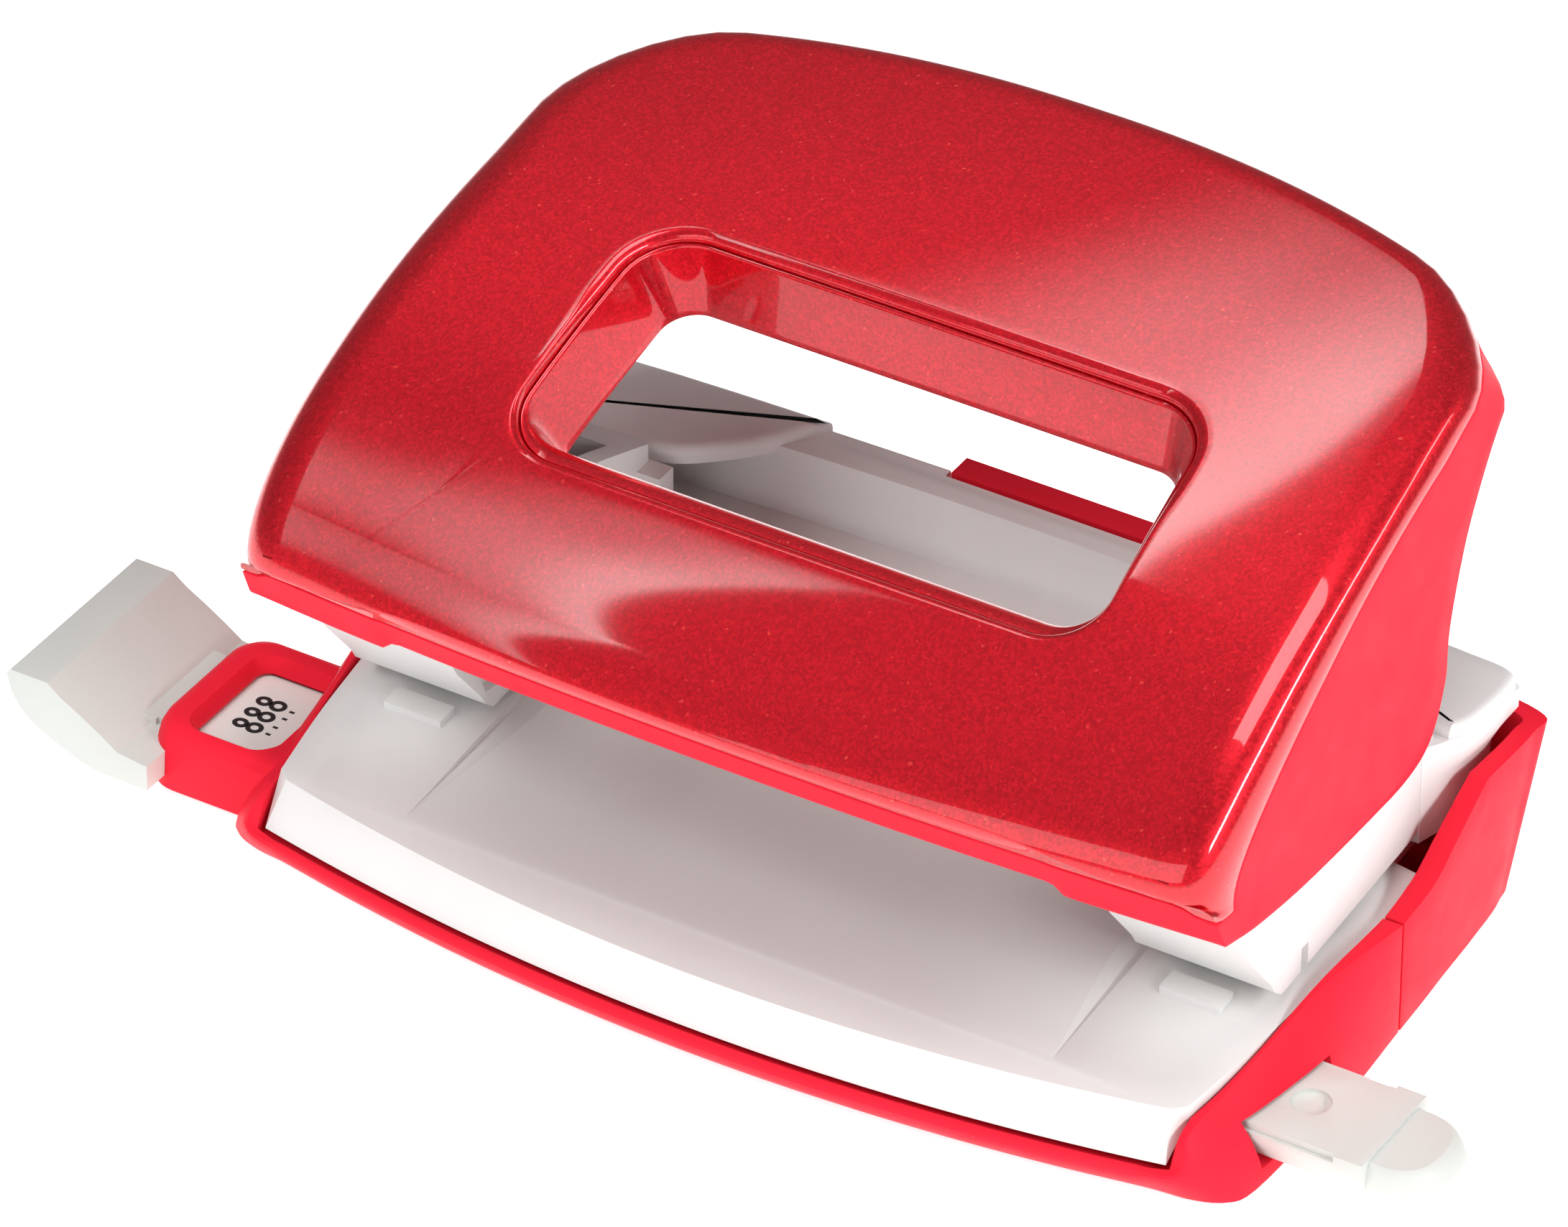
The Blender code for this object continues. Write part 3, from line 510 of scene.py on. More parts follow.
def handle():
    outline, edge = window_ring(WINDOW_STEPS)
    inner = on_crown(outline)
    count = len(outline)
    crease = crown(edge[:, 0], edge[:, 1])
    foot = lower_edge(edge)
    surface = crown(inner[:, 0], inner[:, 1])
    following = np.roll(outline, -1, 0) - np.roll(outline, 1, 0)
    flat = np.stack([following[:, 1], -following[:, 0]], -1)
    flat /= np.linalg.norm(flat, axis=1, keepdims=True)
    outward = flat @ WINDOW_AXES[:2]
    down = -WINDOW_AXES[2]
    # The runs from window to edge bend so that they meet the front and side edges squarely.
    at_front = (edge[:, 1] < 1e-6) * np.clip((1 - np.abs(edge[:, 0])) / 0.12, 0, 1)
    at_side = np.clip(edge[:, 1] / 0.12, 0, 1) * np.clip((0.82 - edge[:, 1]) / 0.15, 0, 1)
    bend = np.stack([at_front, at_side], -1)

    def along(share):
        return inner + share * (1 + bend * (1 - share)) * (edge - inner)

    metric = np.linalg.norm(crown(*along(0.01).T) - surface, axis=1, keepdims=True) / 0.01

    def out_by(distance, depth):
        """Points at a distance outside the window's edge, at a depth below the top."""
        if distance >= 0:
            return crown(*along(distance / metric).T) + depth * down
        return surface + distance * outward + depth * down

    front_bar = np.clip(-flat[:, 1:2], 0, 1) ** 2
    rings = []
    kinds = []

    def ring(points, kind=PAINTED):
        rings.append(points)
        kinds.append(kind)

    def wall(depth, extra=0.0):
        """The liner's wall: it narrows downwards, and its front edge is a wide rounded bar."""
        inward = 0.35 + WINDOW_TAPER * (depth - 1.0) / (WINDOW_DEPTH - 1.0) + extra
        bar = 2.6 * (1 - np.clip(1 - (depth - 1.0) / 2.8, 0, 1) ** 2) ** 0.5
        bulge = front_bar * np.maximum(bar - 0.9 * (depth - 1) / 7, 0) * 0.75
        return surface - (inward + bulge) * outward + depth * down

    ring(wall(WINDOW_DEPTH, -0.5))
    ring(wall(WINDOW_DEPTH - 0.15, -0.12))
    ring(wall(WINDOW_DEPTH - 0.5))
    for depth in (7.0, 6.2, 5.4, 4.7, 4.1, 3.6, 3.1, 2.7, 2.3, 2.0, 1.75, 1.5, 1.3, 1.15):
        ring(wall(depth))
    # A fine groove between the liner and the cover, then the cover's rounded window edge.
    for distance, depth in ((-0.28, 1.0), (-0.16, 0.98), (-0.10, 1.05), (-0.07, 1.35), (0.0, 1.38), (0.0, 1.15)):
        ring(out_by(distance, depth))
    for turn in np.radians((0, 12, 24, 36, 48, 60, 72, 82, 90)):
        ring(out_by(WINDOW_ROUND * (1 - math.cos(turn)), WINDOW_ROUND * (1 - math.sin(turn))))
    start = WINDOW_ROUND / metric
    # The edge is rounded tightly at the front lip, widely at the sides and less at the rear.
    front_edge = np.clip((np.abs(edge[:, 0:1]) - 0.95) / 0.05, 0, 1)
    corner_round = np.where(edge[:, 1:2] < 1e-6, 0.9 + 3.8 * front_edge**2, 4.7)
    rear_edge = np.clip((edge[:, 1:2] - 0.90) / 0.10, 0, 1)
    corner_round = corner_round - (corner_round - 3.0) * rear_edge
    for _ in range(3):
        corner_round = (np.roll(corner_round, 1, 0) + 2 * corner_round + np.roll(corner_round, -1, 0)) / 4
    shares = np.linspace(0.55, 1, 91)
    path = along(shares[:, None, None])
    gap = np.linalg.norm(crown(path[..., 0], path[..., 1]) - crease[None], axis=-1)
    stop = np.array([[np.interp(-corner_round[j, 0], -gap[:, j], shares)] for j in range(count)])
    for share in np.linspace(0, 1, 30)[1:]:
        ring(crown(*along(start + (stop - start) * share).T))
    last = rings[-1]
    drop = foot - crease
    drop_length = np.linalg.norm(drop, axis=1, keepdims=True)
    drop_unit = drop / drop_length
    below = crease + drop_unit * np.minimum(corner_round * 1.15, drop_length * 0.35)
    for t in np.linspace(0, 1, 10)[1:]:
        ring((1 - t) ** 2 * last + 2 * t * (1 - t) * crease + t * t * below)
    tangent = np.roll(foot, -1, 0) - np.roll(foot, 1, 0)
    panel_out = np.cross(tangent, drop_unit)
    panel_out /= np.linalg.norm(panel_out, axis=1, keepdims=True)
    if (panel_out[:, 0] * crease[:, 0]).mean() < 0:
        panel_out = -panel_out
    for _ in range(4):
        panel_out = (np.roll(panel_out, 1, 0) + 2 * panel_out + np.roll(panel_out, -1, 0)) / 4
    panel_out /= np.linalg.norm(panel_out, axis=1, keepdims=True)
    # A fine groove parts the painted cover from the satin frame under it.
    span = foot - below
    span_length = np.linalg.norm(span, axis=1, keepdims=True)
    unit = span / span_length
    lip = np.clip(1 - edge[:, 1:2] / 0.02, 0, 1)
    deep = 0.03 + 0.55 * lip
    ring(below + unit * 0.04 - panel_out * deep * 0.2)
    ring(below + unit * 0.08 - panel_out * deep)
    ring(below + unit * 0.34 - panel_out * deep, SATIN)
    ring(below + unit * 0.36 - panel_out * deep * 0.3, SATIN)
    ring(below + unit * 0.50, SATIN)
    for share in (0.15, 0.3, 0.45, 0.6, 0.75, 0.88):
        ring(below + unit * (0.5 + (span_length - 1.08) * share), SATIN)
    ring(foot - unit * 0.5, SATIN)
    ring(foot - unit * 0.15 - panel_out * 0.12, SATIN)
    ring(foot - panel_out * 0.5, SATIN)
    inner_from = len(rings)
    ring(foot - panel_out * (FLANGE_WALL - 0.3), SATIN)
    ring(foot - unit * 0.3 - panel_out * FLANGE_WALL, SATIN)
    for share in (0.7, 0.35):
        ring(below + span * share - panel_out * FLANGE_WALL, INSIDE)
    inside_below = below - panel_out * FLANGE_WALL
    ring(inside_below, INSIDE)
    normal_last = crown_normal(*along(stop).T)
    under_last = last - HANDLE_WALL * normal_last
    ring(0.5 * (inside_below + under_last) + 0.3 * (crease - 0.5 * (below + last)), INSIDE)
    ring(under_last, INSIDE)
    collar_share = 2.4 / metric
    for share in np.linspace(1, 0, 12)[1:]:
        here = along(collar_share + (stop - collar_share) * share)
        ring(crown(*here.T) - HANDLE_WALL * crown_normal(*here.T), INSIDE)
    for depth in (4.0, 6.0, WINDOW_DEPTH - 0.2):
        ring(surface + (1.9 - 2.2 * (depth - 2) / 6) * outward + depth * down, INSIDE)
    ring(surface + (1.9 - 2.2 - 0.35) * outward + WINDOW_DEPTH * down)

    # The flanges' inner faces keep clear of the legs.
    for each in rings[inner_from:inner_from + 4]:
        wide = (np.abs(edge[:, 0]) > 0.9995) & (each[:, 2] < 42) & (each[:, 1] < 38)
        each[wide, 0] = np.sign(each[wide, 0]) * np.maximum(np.abs(each[wide, 0]), FLANGE_INSIDE_X)
    points = np.concatenate(rings)
    total = len(rings)
    faces = []
    face_materials = []
    for r in range(total):
        after = (r + 1) % total
        for i in range(count):
            j = (i + 1) % count
            faces.append((r * count + i, r * count + j, after * count + j, after * count + i))
            face_materials.append(max(kinds[r], kinds[after]) if r < total - 1 else PAINTED)
    made = mesh_object(
        "handle", points, faces, ("red_paint", "red_satin", "red_inner"), face_materials, smooth=50)
    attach(made, "handle")
    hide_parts("handle_shell")
    return made


handle()


# ---------------------------------------------------------------- base, plate and tray

FLOOR_Z = 0.4
SEAM_Y = 21.2
RAIL_Z = 19.0
HINGE_Y, HINGE_Z = 11.5, 2.4
PIN_X, PIN_Y = 40.0, 20.0
SCREW_X, SCREW_Y = 40.0, -6.4
BODY_SCREW_XS = (36.2, 43.8)
BODY_SCREW_Y = 32.4
STOP_Y = 32.0
PAPER_GAP = 1.5
LEG_HALF_WIDTH = 6.6
PIVOT_Y, PIVOT_Z = 3.0, 29.0
GUIDE_Y = 2.8
GUIDE_TOP = 5.6

# The right-hand side wall of the base, front to rear: its foot, its middle and its rim.
SIDE_WALL = (
    ((48.0, -8.8, FLOOR_Z), (47.9, -10.6, 3.3), (47.3, -10.4, 4.2)),
    ((50.8, -7.6, FLOOR_Z), (49.7, -8.4, 3.8), (47.5, -8.5, 7.0)),
    ((52.1, -5.2, FLOOR_Z), (50.7, -4.4, 4.2), (47.9, -3.0, 8.0)),
    ((52.4, 3.0, FLOOR_Z), (51.4, 3.0, 5.0), (48.6, 3.0, 9.3)),
    ((52.4, 12.0, FLOOR_Z), (51.8, 12.0, 6.0), (49.8, 12.0, 11.3)),
    ((51.8, SEAM_Y, FLOOR_Z), (51.8, SEAM_Y, 6.0), (51.8, SEAM_Y, 12.1)),
)

# The right-hand wall of the tray, front to rear: outer foot, outer rim, inner foot and inner rim.
TRAY_WALL = (
    ((51.8, 21.5, FLOOR_Z), (51.8, 21.5, 12.1), (49.8, 16.0, 2.1), (50.0, 16.0, 21.0)),
    ((51.5, 26.5, FLOOR_Z), (52.0, 26.5, 13.2), (49.6, 26.5, 2.1), (50.1, 26.5, 21.0)),
    ((51.2, 30.5, FLOOR_Z), (52.0, 30.5, 15.6), (49.4, 30.5, 2.1), (50.2, 30.5, 21.0)),
    ((50.9, 35.6, FLOOR_Z), (52.1, 35.6, RAIL_Z), (49.1, 35.6, 2.1), (50.4, 35.6, 21.0)),
    ((50.2, 42.5, FLOOR_Z), (52.2, 43.6, RAIL_Z), (48.4, 41.9, 2.1), (50.7, 43.0, 21.0)),
    ((48.4, 45.5, FLOOR_Z), (51.0, 46.9, RAIL_Z), (46.7, 43.9, 2.1), (49.6, 45.8, 21.0)),
    ((38.0, 46.6, FLOOR_Z), (38.0, 48.3, RAIL_Z), (38.0, 44.8, 2.1), (38.0, 46.7, 21.0)),
    ((19.0, 47.3, FLOOR_Z), (19.0, 49.1, RAIL_Z), (19.0, 45.5, 2.1), (19.0, 47.4, 21.0)),
    ((0.0, 47.6, FLOOR_Z), (0.0, 49.4, RAIL_Z), (0.0, 45.8, 2.1), (0.0, 47.7, 21.0)),
)

# The right-hand edge of the paper plate behind its front corner.
PLATE_SIDE = (
    (46.5, -6.8), (47.7, 1.0), (48.4, 8.0), (49.5, 20.0),
    (49.6, 27.0), (48.9, 28.8), (46.0, 29.2), (46.0, 43.0),
)


def both_sides(right, middle):
    """Right rows (rear to front), the middle rows reversed, then the mirror image of the right rows."""
    right = [np.array(row, float) for row in right]
    mirrored = [row * np.array((-1, 1, 1)[: row.shape[-1]]) for row in right[::-1]]
    return right + [np.array(row, float) for row in middle[::-1]] + mirrored


def finer(rows, step):
    """Rows of level points, resampled along a smooth curve at about the given spacing."""
    rows = np.array(rows, float)
    count = max(8, int(np.linalg.norm(np.diff(rows[:, 0], axis=0), axis=1).sum() / step))
    levels = [smooth_line(rows[:, k], count) for k in range(rows.shape[1])]
    return np.stack(levels, 1)


def rings_of(rows, heights):
    """Rings through rows of three levels (a curve) or two (a line), at the given heights from 0 to 1."""
    rows = np.array(rows, float)
    found = []
    for t in heights:
        if rows.shape[1] == 3:
            a, b, c = rows[:, 0], rows[:, 1], rows[:, 2]
            control = 2 * b - 0.5 * (a + c)
            found.append((1 - t) ** 2 * a + 2 * t * (1 - t) * control + t * t * c)
        else:
            found.append((1 - t) * rows[:, 0] + t * rows[:, 1])
    return [[tuple(p) for p in ring] for ring in found]


def rod(name, y, z, radius, x0, x1, steps=32):
    return prism(name, [(y + a, z + b) for a, b in circle((0, 0), radius, steps)], x0, x1, "X")


def finish_piece(made, body, node, width=0.35, angle=32, segments=3, shade_angle=38):
    baked(made)
    rounded(made, width, segments, angle)
    shade(made, shade_angle)
    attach(made, body)
    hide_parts(*([node] if isinstance(node, str) else node))
    return made


def base():
    columns = []
    for i in range(13):
        x = -44 + 88 * i / 12
        lip_y = bow(x, -16.1, -11.4, 44)
        columns.append(((x, bow(x, -13.8, -9.3, 44), FLOOR_Z), (x, lip_y + 0.2, 2.6), (x, lip_y + 0.35, 3.9)))
    around = rings_of(finer(both_sides(SIDE_WALL[::-1], columns), 1.6), (0, 0.12, 0.3, 0.5, 0.7, 0.88, 1))
    shell = mirror_loft("base", around, material_names=("red_plastic",))

    rings = []
    for z, inset in ((0.8, -0.1), (2.5, 0.0), (4.6, 0.15), (6.0, 0.45), (6.9, 0.9), (7.35, 1.5), (7.5, 2.3)):
        low, high = (-62.4 + inset, -5.8 + inset), (-44.0, 11.4 - inset * 0.6)
        ring = rounded_box_outline(*low, *high, 3.4 - 0.4 * inset, 8)
        rings.append([(x, y, z) for x, y in ring])
    join(shell, loft("guide_frame", rings))
    front = [(x, bow(x, -12.9, -9.0, 44)) for x in np.linspace(-42, 42, 15)]
    hollow = [(-45.4, 8.0), (-45.4, -7.6), *front, (45.4, -7.6), (45.4, 8.0)]
    cut(shell, prism("base_hollow", hollow, 2.2, 30))
    nose = [(x, bow(x, -15.3, -10.3, 46.5)) for x in np.linspace(-46.5, 46.5, 31)]
    nose_way = [(-46.8, -4.0), (-46.8, -10.4), *nose[1:-1], (46.8, -10.4), (46.8, -4.0)]
    cut(shell, prism("plate_nose_way", nose_way, 3.3, 30))
    edge = smooth_line([(x, y, 0) for x, y in PLATE_SIDE[4::-1]], 17)
    seat = both_sides([(x + 0.3, y) for x, y, _ in edge], [])
    seat = [(-50.0, 40.0), *[tuple(p) for p in seat[::-1]], (50.0, 40.0)]
    low = [(x, y, plate_z(y) - 1.9) for x, y in seat]
    cut(shell, loft("plate_seat", [low, [(x, y, z + 30) for x, y, z in low]]))
    cut(shell, box("tray_way", (-46.2, HINGE_Y - 2.3, -1), (46.2, 40, 30)))

    window = []
    for z, grow in ((5.0, 0.0), (6.3, 0.0), (7.6, 0.75), (12.0, 0.75)):
        corners = rounded_box_outline(-58.2 - grow, -3.8 - grow, -50.6 + grow, 8.0 + grow, 1.4 + grow, 8)
        bulged = [(x + (0.9 * (1 - ((y - 2.1) / 6.6) ** 2) if x > -54 else 0), y, z) for x, y in corners]
        window.append(bulged)
    cut(shell, loft("frame_window", window))
    for x in (-34, 34):
        join(shell, rod("knuckle", HINGE_Y, HINGE_Z, 2.0, x - 4.7, x + 4.7))
        join(shell, box("knuckle_web", (x - 4.7, HINGE_Y - 3, 0.4), (x + 4.7, HINGE_Y - 0.3, 2.7)))
        cut(shell, rod("knuckle_bore", HINGE_Y, HINGE_Z, 1.1, x - 5.5, x + 5.5))
    for x in (-SCREW_X, SCREW_X):
        join(shell, turned("base_boss", x, SCREW_Y, ((2.9, 1.4), (2.9, 3.7)), 32))
    cut(shell, box("guide_way", (-80, GUIDE_Y - 6.1, 1.7), (80, GUIDE_Y + 6.1, 5.9)))
    cut(shell, prism("mat_seat", rounded_box_outline(-34.3, -8.5, 34.3, 8.5, 3.3), -1, 0.9))
    for x in (-SCREW_X, SCREW_X):
        cut(shell, turned("screw_way", x, SCREW_Y, ((2.3, -1), (2.3, 2.0), (1.3, 2.01), (1.3, 12)), 32))
    return finish_piece(shell, "base", "base_shell", 0.4)


def plate():
    xs = np.linspace(-45.3, 45.3, 41)
    crease = [(x, bow(x, -13.2, -7.8, 45.3), 8.5) for x in xs]
    apron = [(x * 1.02, bow(x, -15.0, -10.0, 45.3), 4.2) for x in xs]
    edge = [(x, y) for x, y, _ in smooth_line([(x, y, 0) for x, y in PLATE_SIDE[:6]], 24)]
    edge += PLATE_SIDE[6:]
    top = [(x, y, plate_z(y)) for x, y in edge[::-1]]
    under = [(x, y, z - 1.6) for x, y, z in top]
    rings = [[tuple(p) for p in both_sides(a, b)] for a, b in ((under, apron), (top, crease))]
    made = mirror_loft("plate", rings, material_names=("pale_plastic",))
    low = [(x * 0.97, bow(x, -13.2, -8.4, 45.3), 2.0) for x in xs]
    high = [(x * 0.97, bow(x, -11.6, -6.6, 45.3), 6.7) for x in xs]
    rings = [[tuple(p) for p in both_sides([(44.0, -3.0, z)], row)] for z, row in ((2.0, low), (6.7, high))]
    cut(made, mirror_loft("apron_hollow", rings))
    for side in (-1, 1):
        x = side * PIN_X
        join(made, turned("plate_boss", side * SCREW_X, SCREW_Y, ((2.6, 4.0), (2.6, 7.6)), 32))
        cut(made, turned("plate_pilot", side * SCREW_X, SCREW_Y, ((1.06, 2), (1.06, 7.2)), 24))
        for rib in (-5.1, 5.1):
            low = (x + rib - 0.6, PIN_Y - 5, 6.8)
            join(made, box("die_rib", low, (x + rib + 0.6, PIN_Y + 5, plate_z(PIN_Y) - 0.8)))
        cut(made, turned("hole", x, PIN_Y, ((3.25, 4), (3.25, 16)), 40))
        for bx in BODY_SCREW_XS:
            cut(made, turned("screw_way", side * bx, BODY_SCREW_Y, ((1.3, 4), (1.3, 18)), 24))
        # A shallow wedge beside each leg, deepest along its outer edge at the rear.
        groove = ((33.2, -7.2, 0.02), (33.4, 20.0, 1.35), (29.4, 20.0, 0.02), (31.0, 6.0, 0.02))
        wedge = [(side * gx, gy, plate_z(gy) - depth) for gx, gy, depth in groove]
        cut(made, loft("groove", [wedge, [(px, py, pz + 6) for px, py, pz in wedge]]))
        rib = [(side * 43.0, 4.6), (side * 37.0, 4.6), (side * 37.0, 7.0), (side * 43.0, 7.0)]
        rings = [[(px, py, plate_z(py) + rise) for px, py in rib] for rise in (-0.8, 0.7)]
        join(made, loft("stop_rib", rings))
    return finish_piece(made, "base", "paper_plate", 0.45, 30)


def tray():
    wall = [list(row) for row in TRAY_WALL]
    side = finer([row[:2] for row in wall[:4]], 1.2)
    rear = finer([row[:2] for row in wall[3:]], 1.6)
    outer = both_sides(np.concatenate([side, rear[1:]]), [])
    middle = len(outer) // 2
    outer = outer[: middle] + outer[middle + 1:]
    outer = outer[::-1] if outer[0][0][0] < 0 else outer
    made = mirror_loft("tray", rings_of(outer, (0, 0.25, 0.5, 0.75, 1)), material_names=("red_plastic",))
    side = finer([row[2:] for row in wall[:4]], 3)
    rear = finer([row[2:] for row in wall[3:]], 2)
    inner = both_sides(np.concatenate([side, rear[1:]]), [])
    middle = len(inner) // 2
    inner = inner[: middle] + inner[middle + 1:]
    cut(made, mirror_loft("tray_hollow", rings_of(inner, (0, 1))))
    join(made, box("tray_floor", (-44.2, 14.0, 0.4), (44.2, 26.0, 1.9)))
    join(made, box("tray_lip", (-44.2, 14.0, 0.6), (44.2, 15.2, 5.6)))
    for side in (-1, 1):
        x = side * 24.5
        join(made, rod("tray_knuckle", HINGE_Y, HINGE_Z, 2.0, x - 4.5, x + 4.5))
        join(made, box("tray_web", (x - 4.5, HINGE_Y + 0.3, 0.4), (x + 4.5, HINGE_Y + 3.2, 2.7)))
        cut(made, rod("tray_bore", HINGE_Y, HINGE_Z, 1.1, x - 5.5, x + 5.5))
        cut(made, turned("foot_seat", side * 36, 38, ((4.3, -1), (4.3, 1.2)), 40))
    tab = [(48.0, 16.5), (49.4, 16.5), (49.6, 22.4), (49.2, 22.9), (46.4, 22.9), (46.4, 21.7), (48.0, 21.2)]
    join(made, prism("finger_tab", tab, -9.0, 30.0, "X"))
    return finish_piece(made, "tray", "chip_tray", 0.35)


# ---------------------------------------------------------------- upper body and its covers

def upper_body():
    outer = [(47.4, 32.0), (48.6, 36.0), (48.8, 41.6), (47.0, 43.6), (38.0, 44.6), (19.0, 45.3), (0.0, 45.6)]
    upper = [(47.4, 32.0), (49.8, 37.0), (50.1, 43.0), (48.9, 45.3), (38.0, 46.2), (19.0, 46.9), (0.0, 47.2)]

    def around(plan, height):
        fine = smooth_line([(x, y, 0) for x, y in plan], 46)
        rows = [(x, y, height(y)) for x, y, _ in fine]
        return rows + [(-x, y, z) for x, y, z in rows[-2::-1]]

    rings = [around(outer, lambda y: plate_z(y) + 0.3), around(outer, lambda y: 16.5)]
    blend = [(0.5 * (a[0] + b[0]), 0.5 * (a[1] + b[1])) for a, b in zip(outer, upper)]
    rings += [around(outer, lambda y: 17.8), around(blend, lambda y: 19.2), around(upper, lambda y: 20.6)]
    rings.append(around(upper, lambda y: 22.6))
    count = len(rings[0])
    rings = [ring[: count // 2] + ring[count // 2 + 1:] for ring in rings]
    body = mirror_loft("body", rings, material_names=("pale_plastic",))
    for side in (-1, 1):
        x = side * PIN_X
        foot = plate_z(8.0) + PAPER_GAP
        heel = plate_z(STOP_Y) + PAPER_GAP
        shin = [(2.0, 18.5), (5.9, foot + 2.2), (6.6, foot + 1.0)]
        outline = [(7.8, foot), (STOP_Y + 2, heel), (STOP_Y + 2, 24.5), (PIN_Y + 7.0, 27.0), (8.0, 33.2)]
        outline += arc((PIVOT_Y, PIVOT_Z), 4.6, 60, 180, 12)
        outline += [(-1.0, 24.0), *shin]
        join(body, prism("leg", outline, x - LEG_HALF_WIDTH, x + LEG_HALF_WIDTH, "X"))
        wall = [(7.8, foot), (34.0, plate_z(34.0) + PAPER_GAP), (34.0, 23.3), (-0.6, 23.3), *shin]
        join(body, prism("wall", wall, *sorted((side * 45.8, side * 47.3)), "X"))
    back = [(x, bow(x, 43.0, 41.4, 38)) for x in np.linspace(38, -38, 21)]
    well = [(-45.6, 34.4), (45.6, 34.4), (45.6, 40.0), *back, (-45.6, 40.0)]
    cut(body, prism("well", well, 15.4, 40))
    cut(body, box("deck_front", (-31, 28, 15.4), (31, 36, 40)))
    for side in (-1, 1):
        x = side * PIN_X
        low = (x - 4.6, 9.5, 15.6)
        cut(body, box("leg_hollow", low, (x + 4.6, 30.2, 60)))
        cut(body, box("lever_way", (low[0], -6, 23.8), (x + 4.6, 12, 60)))
        cut(body, turned("bush_way", x, PIN_Y, ((4.3, 5), (4.3, 40)), 40))
        cut(body, rod("pivot_bore", PIVOT_Y, PIVOT_Z, 1.56, *sorted((side * 30, side * 50))))
        for bx in BODY_SCREW_XS:
            cut(body, turned("screw_bore", side * bx, BODY_SCREW_Y, ((1.06, 5), (1.06, 19.3)), 24))
        inner = side * (PIN_X - LEG_HALF_WIDTH)
        left, right = sorted((side * 46.4, side * 48))
        cut(body, box("slit", (left, 11.2, 5), (right, 12.4, 14.2)))
        recess = [(6.6, 13.8), (5.0, 17.6), (4.0, 22.0), (8.5, 22.6), (8.6, 13.4)]
        cut(body, prism("leg_recess", recess, *sorted((inner - side * 1.0, inner + side * 1.1)), "X"))
    cut(body, box("tab_way", (-9.4, 46.1, 18.4), (30.4, 60, 40)))
    return finish_piece(body, "base", "upper_body", 0.5, 30)


def corner_covers():
    """Thin leaves with rounded upper edges that close the rear corners of the well."""
    for side, name in ((-1, "left"), (1, "right")):
        corner = smooth_line([(48.6, 34.6), (49.8, 37.2), (50.1, 43.0), (48.9, 45.3), (44.0, 45.8)], 28)
        outline = [*corner, (38.0, 46.2), (31.2, 46.5), (21.7, 46.8)]
        front = smooth_line([(21.7, 46.8), (25.0, 41.8), (28.1, 38.4), (32.0, 35.5), (37.0, 34.9)], 20)
        outline += [*front[1:]]
        outline = np.array([(side * x, y) for x, y in outline])
        inward = np.roll(outline, -1, 0) - np.roll(outline, 1, 0)
        inward = np.stack([-inward[:, 1], inward[:, 0]], -1) / np.linalg.norm(inward, axis=1, keepdims=True)
        if ((outline.mean(0) - outline) * inward).sum() < 0:
            inward = -inward
        rings = []
        for z, inset in ((22.0, 0), (22.75, -0.03), (23.2, 0.0), (23.55, 0.16), (23.8, 0.42), (23.9, 0.85)):
            rings.append([(x, y, z) for x, y in outline + inset * inward])
        made = loft(f"corner_cover_{name}", rings, material_names=("pale_plastic",))
        shade(made, 40)
        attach(made, "base")
        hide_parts(f"corner_cover_{name}")


# ---------------------------------------------------------------- paper guide

def guide():
    """The sliding paper guide: a ledged bar with a stop tab at its left and a rounded grip at its right."""
    side = [(2.0, -1.9), (4.3, -3.0), (4.9, -3.0), (4.9, -2.6), (5.6, -2.6)]
    section = [(y, z) for z, y in side] + [(2 * GUIDE_Y - y, z) for z, y in side[::-1]]
    bar = prism("guide", section, -64.0, 60.0, "X", material_names=("guide_plastic",))
    section = [(-1.9, 2.0), (-3.0, 4.3), (-3.0, GUIDE_TOP), (8.6, GUIDE_TOP), (8.6, 4.3), (7.5, 2.0)]
    join(bar, prism("tail", section, 58.6, 61.4, "X"))
    join(bar, prism("tail_root", section, -66.0, -62.6, "X"))
    # The grip's height, reach and half width, from its underside to its top.
    levels = (
        (2.0, 66.9, 4.6), (2.6, 67.4, 4.9), (3.4, 67.6, 5.0),
        (4.3, 67.2, 4.9), (4.9, 66.7, 4.7), (5.2, 66.2, 4.4),
    )
    rings = []
    for z, reach, half in levels:
        ring = [(59.0, GUIDE_Y - half), (62.0, GUIDE_Y - half)]
        for turn in np.radians(np.linspace(-80, 80, 17)):
            across = math.copysign(abs(math.sin(turn)) ** 0.75, turn)
            ring.append((62.0 + (reach - 62.0) * math.cos(turn) ** 0.8, GUIDE_Y + half * across))
        ring += [(62.0, GUIDE_Y + half), (59.0, GUIDE_Y + half)]
        rings.append([(x, y, z + (0.32 if x < 61.5 and z > 5 else 0)) for x, y in ring])
    join(bar, loft("grip", rings))
    tab = [(-60.0, 2.0), (-60.0, 4.6), (-63.2, 5.0), (-64.9, 6.2), (-67.1, 7.6), (-69.2, 8.8), (-70.6, 9.9)]
    tab += [(-74.6, 9.9), (-75.0, 9.4), (-74.6, 7.6), (-73.8, 6.1), (-72.9, 5.2), (-71.6, 4.3)]
    tab += [(-69.6, 3.4), (-67.4, 2.5), (-65.4, 2.0)]
    join(bar, prism("stop_tab", tab, -8.4, 11.9, "Y"))
    hollow = ((0.4, 5.05), (1.3, 5.05), (1.75, 5.2), (1.85, 5.5), (1.9, 8.0))
    cut(bar, turned("dimple", 53.3, 2.7, hollow, 40))
    cut(bar, box("edge_notch", (56.0, 8.1, 4.6), (58.0, 9.2, 6.5)))
    finish_piece(bar, "guide", "guide_bar", 0.35, 28, 3)


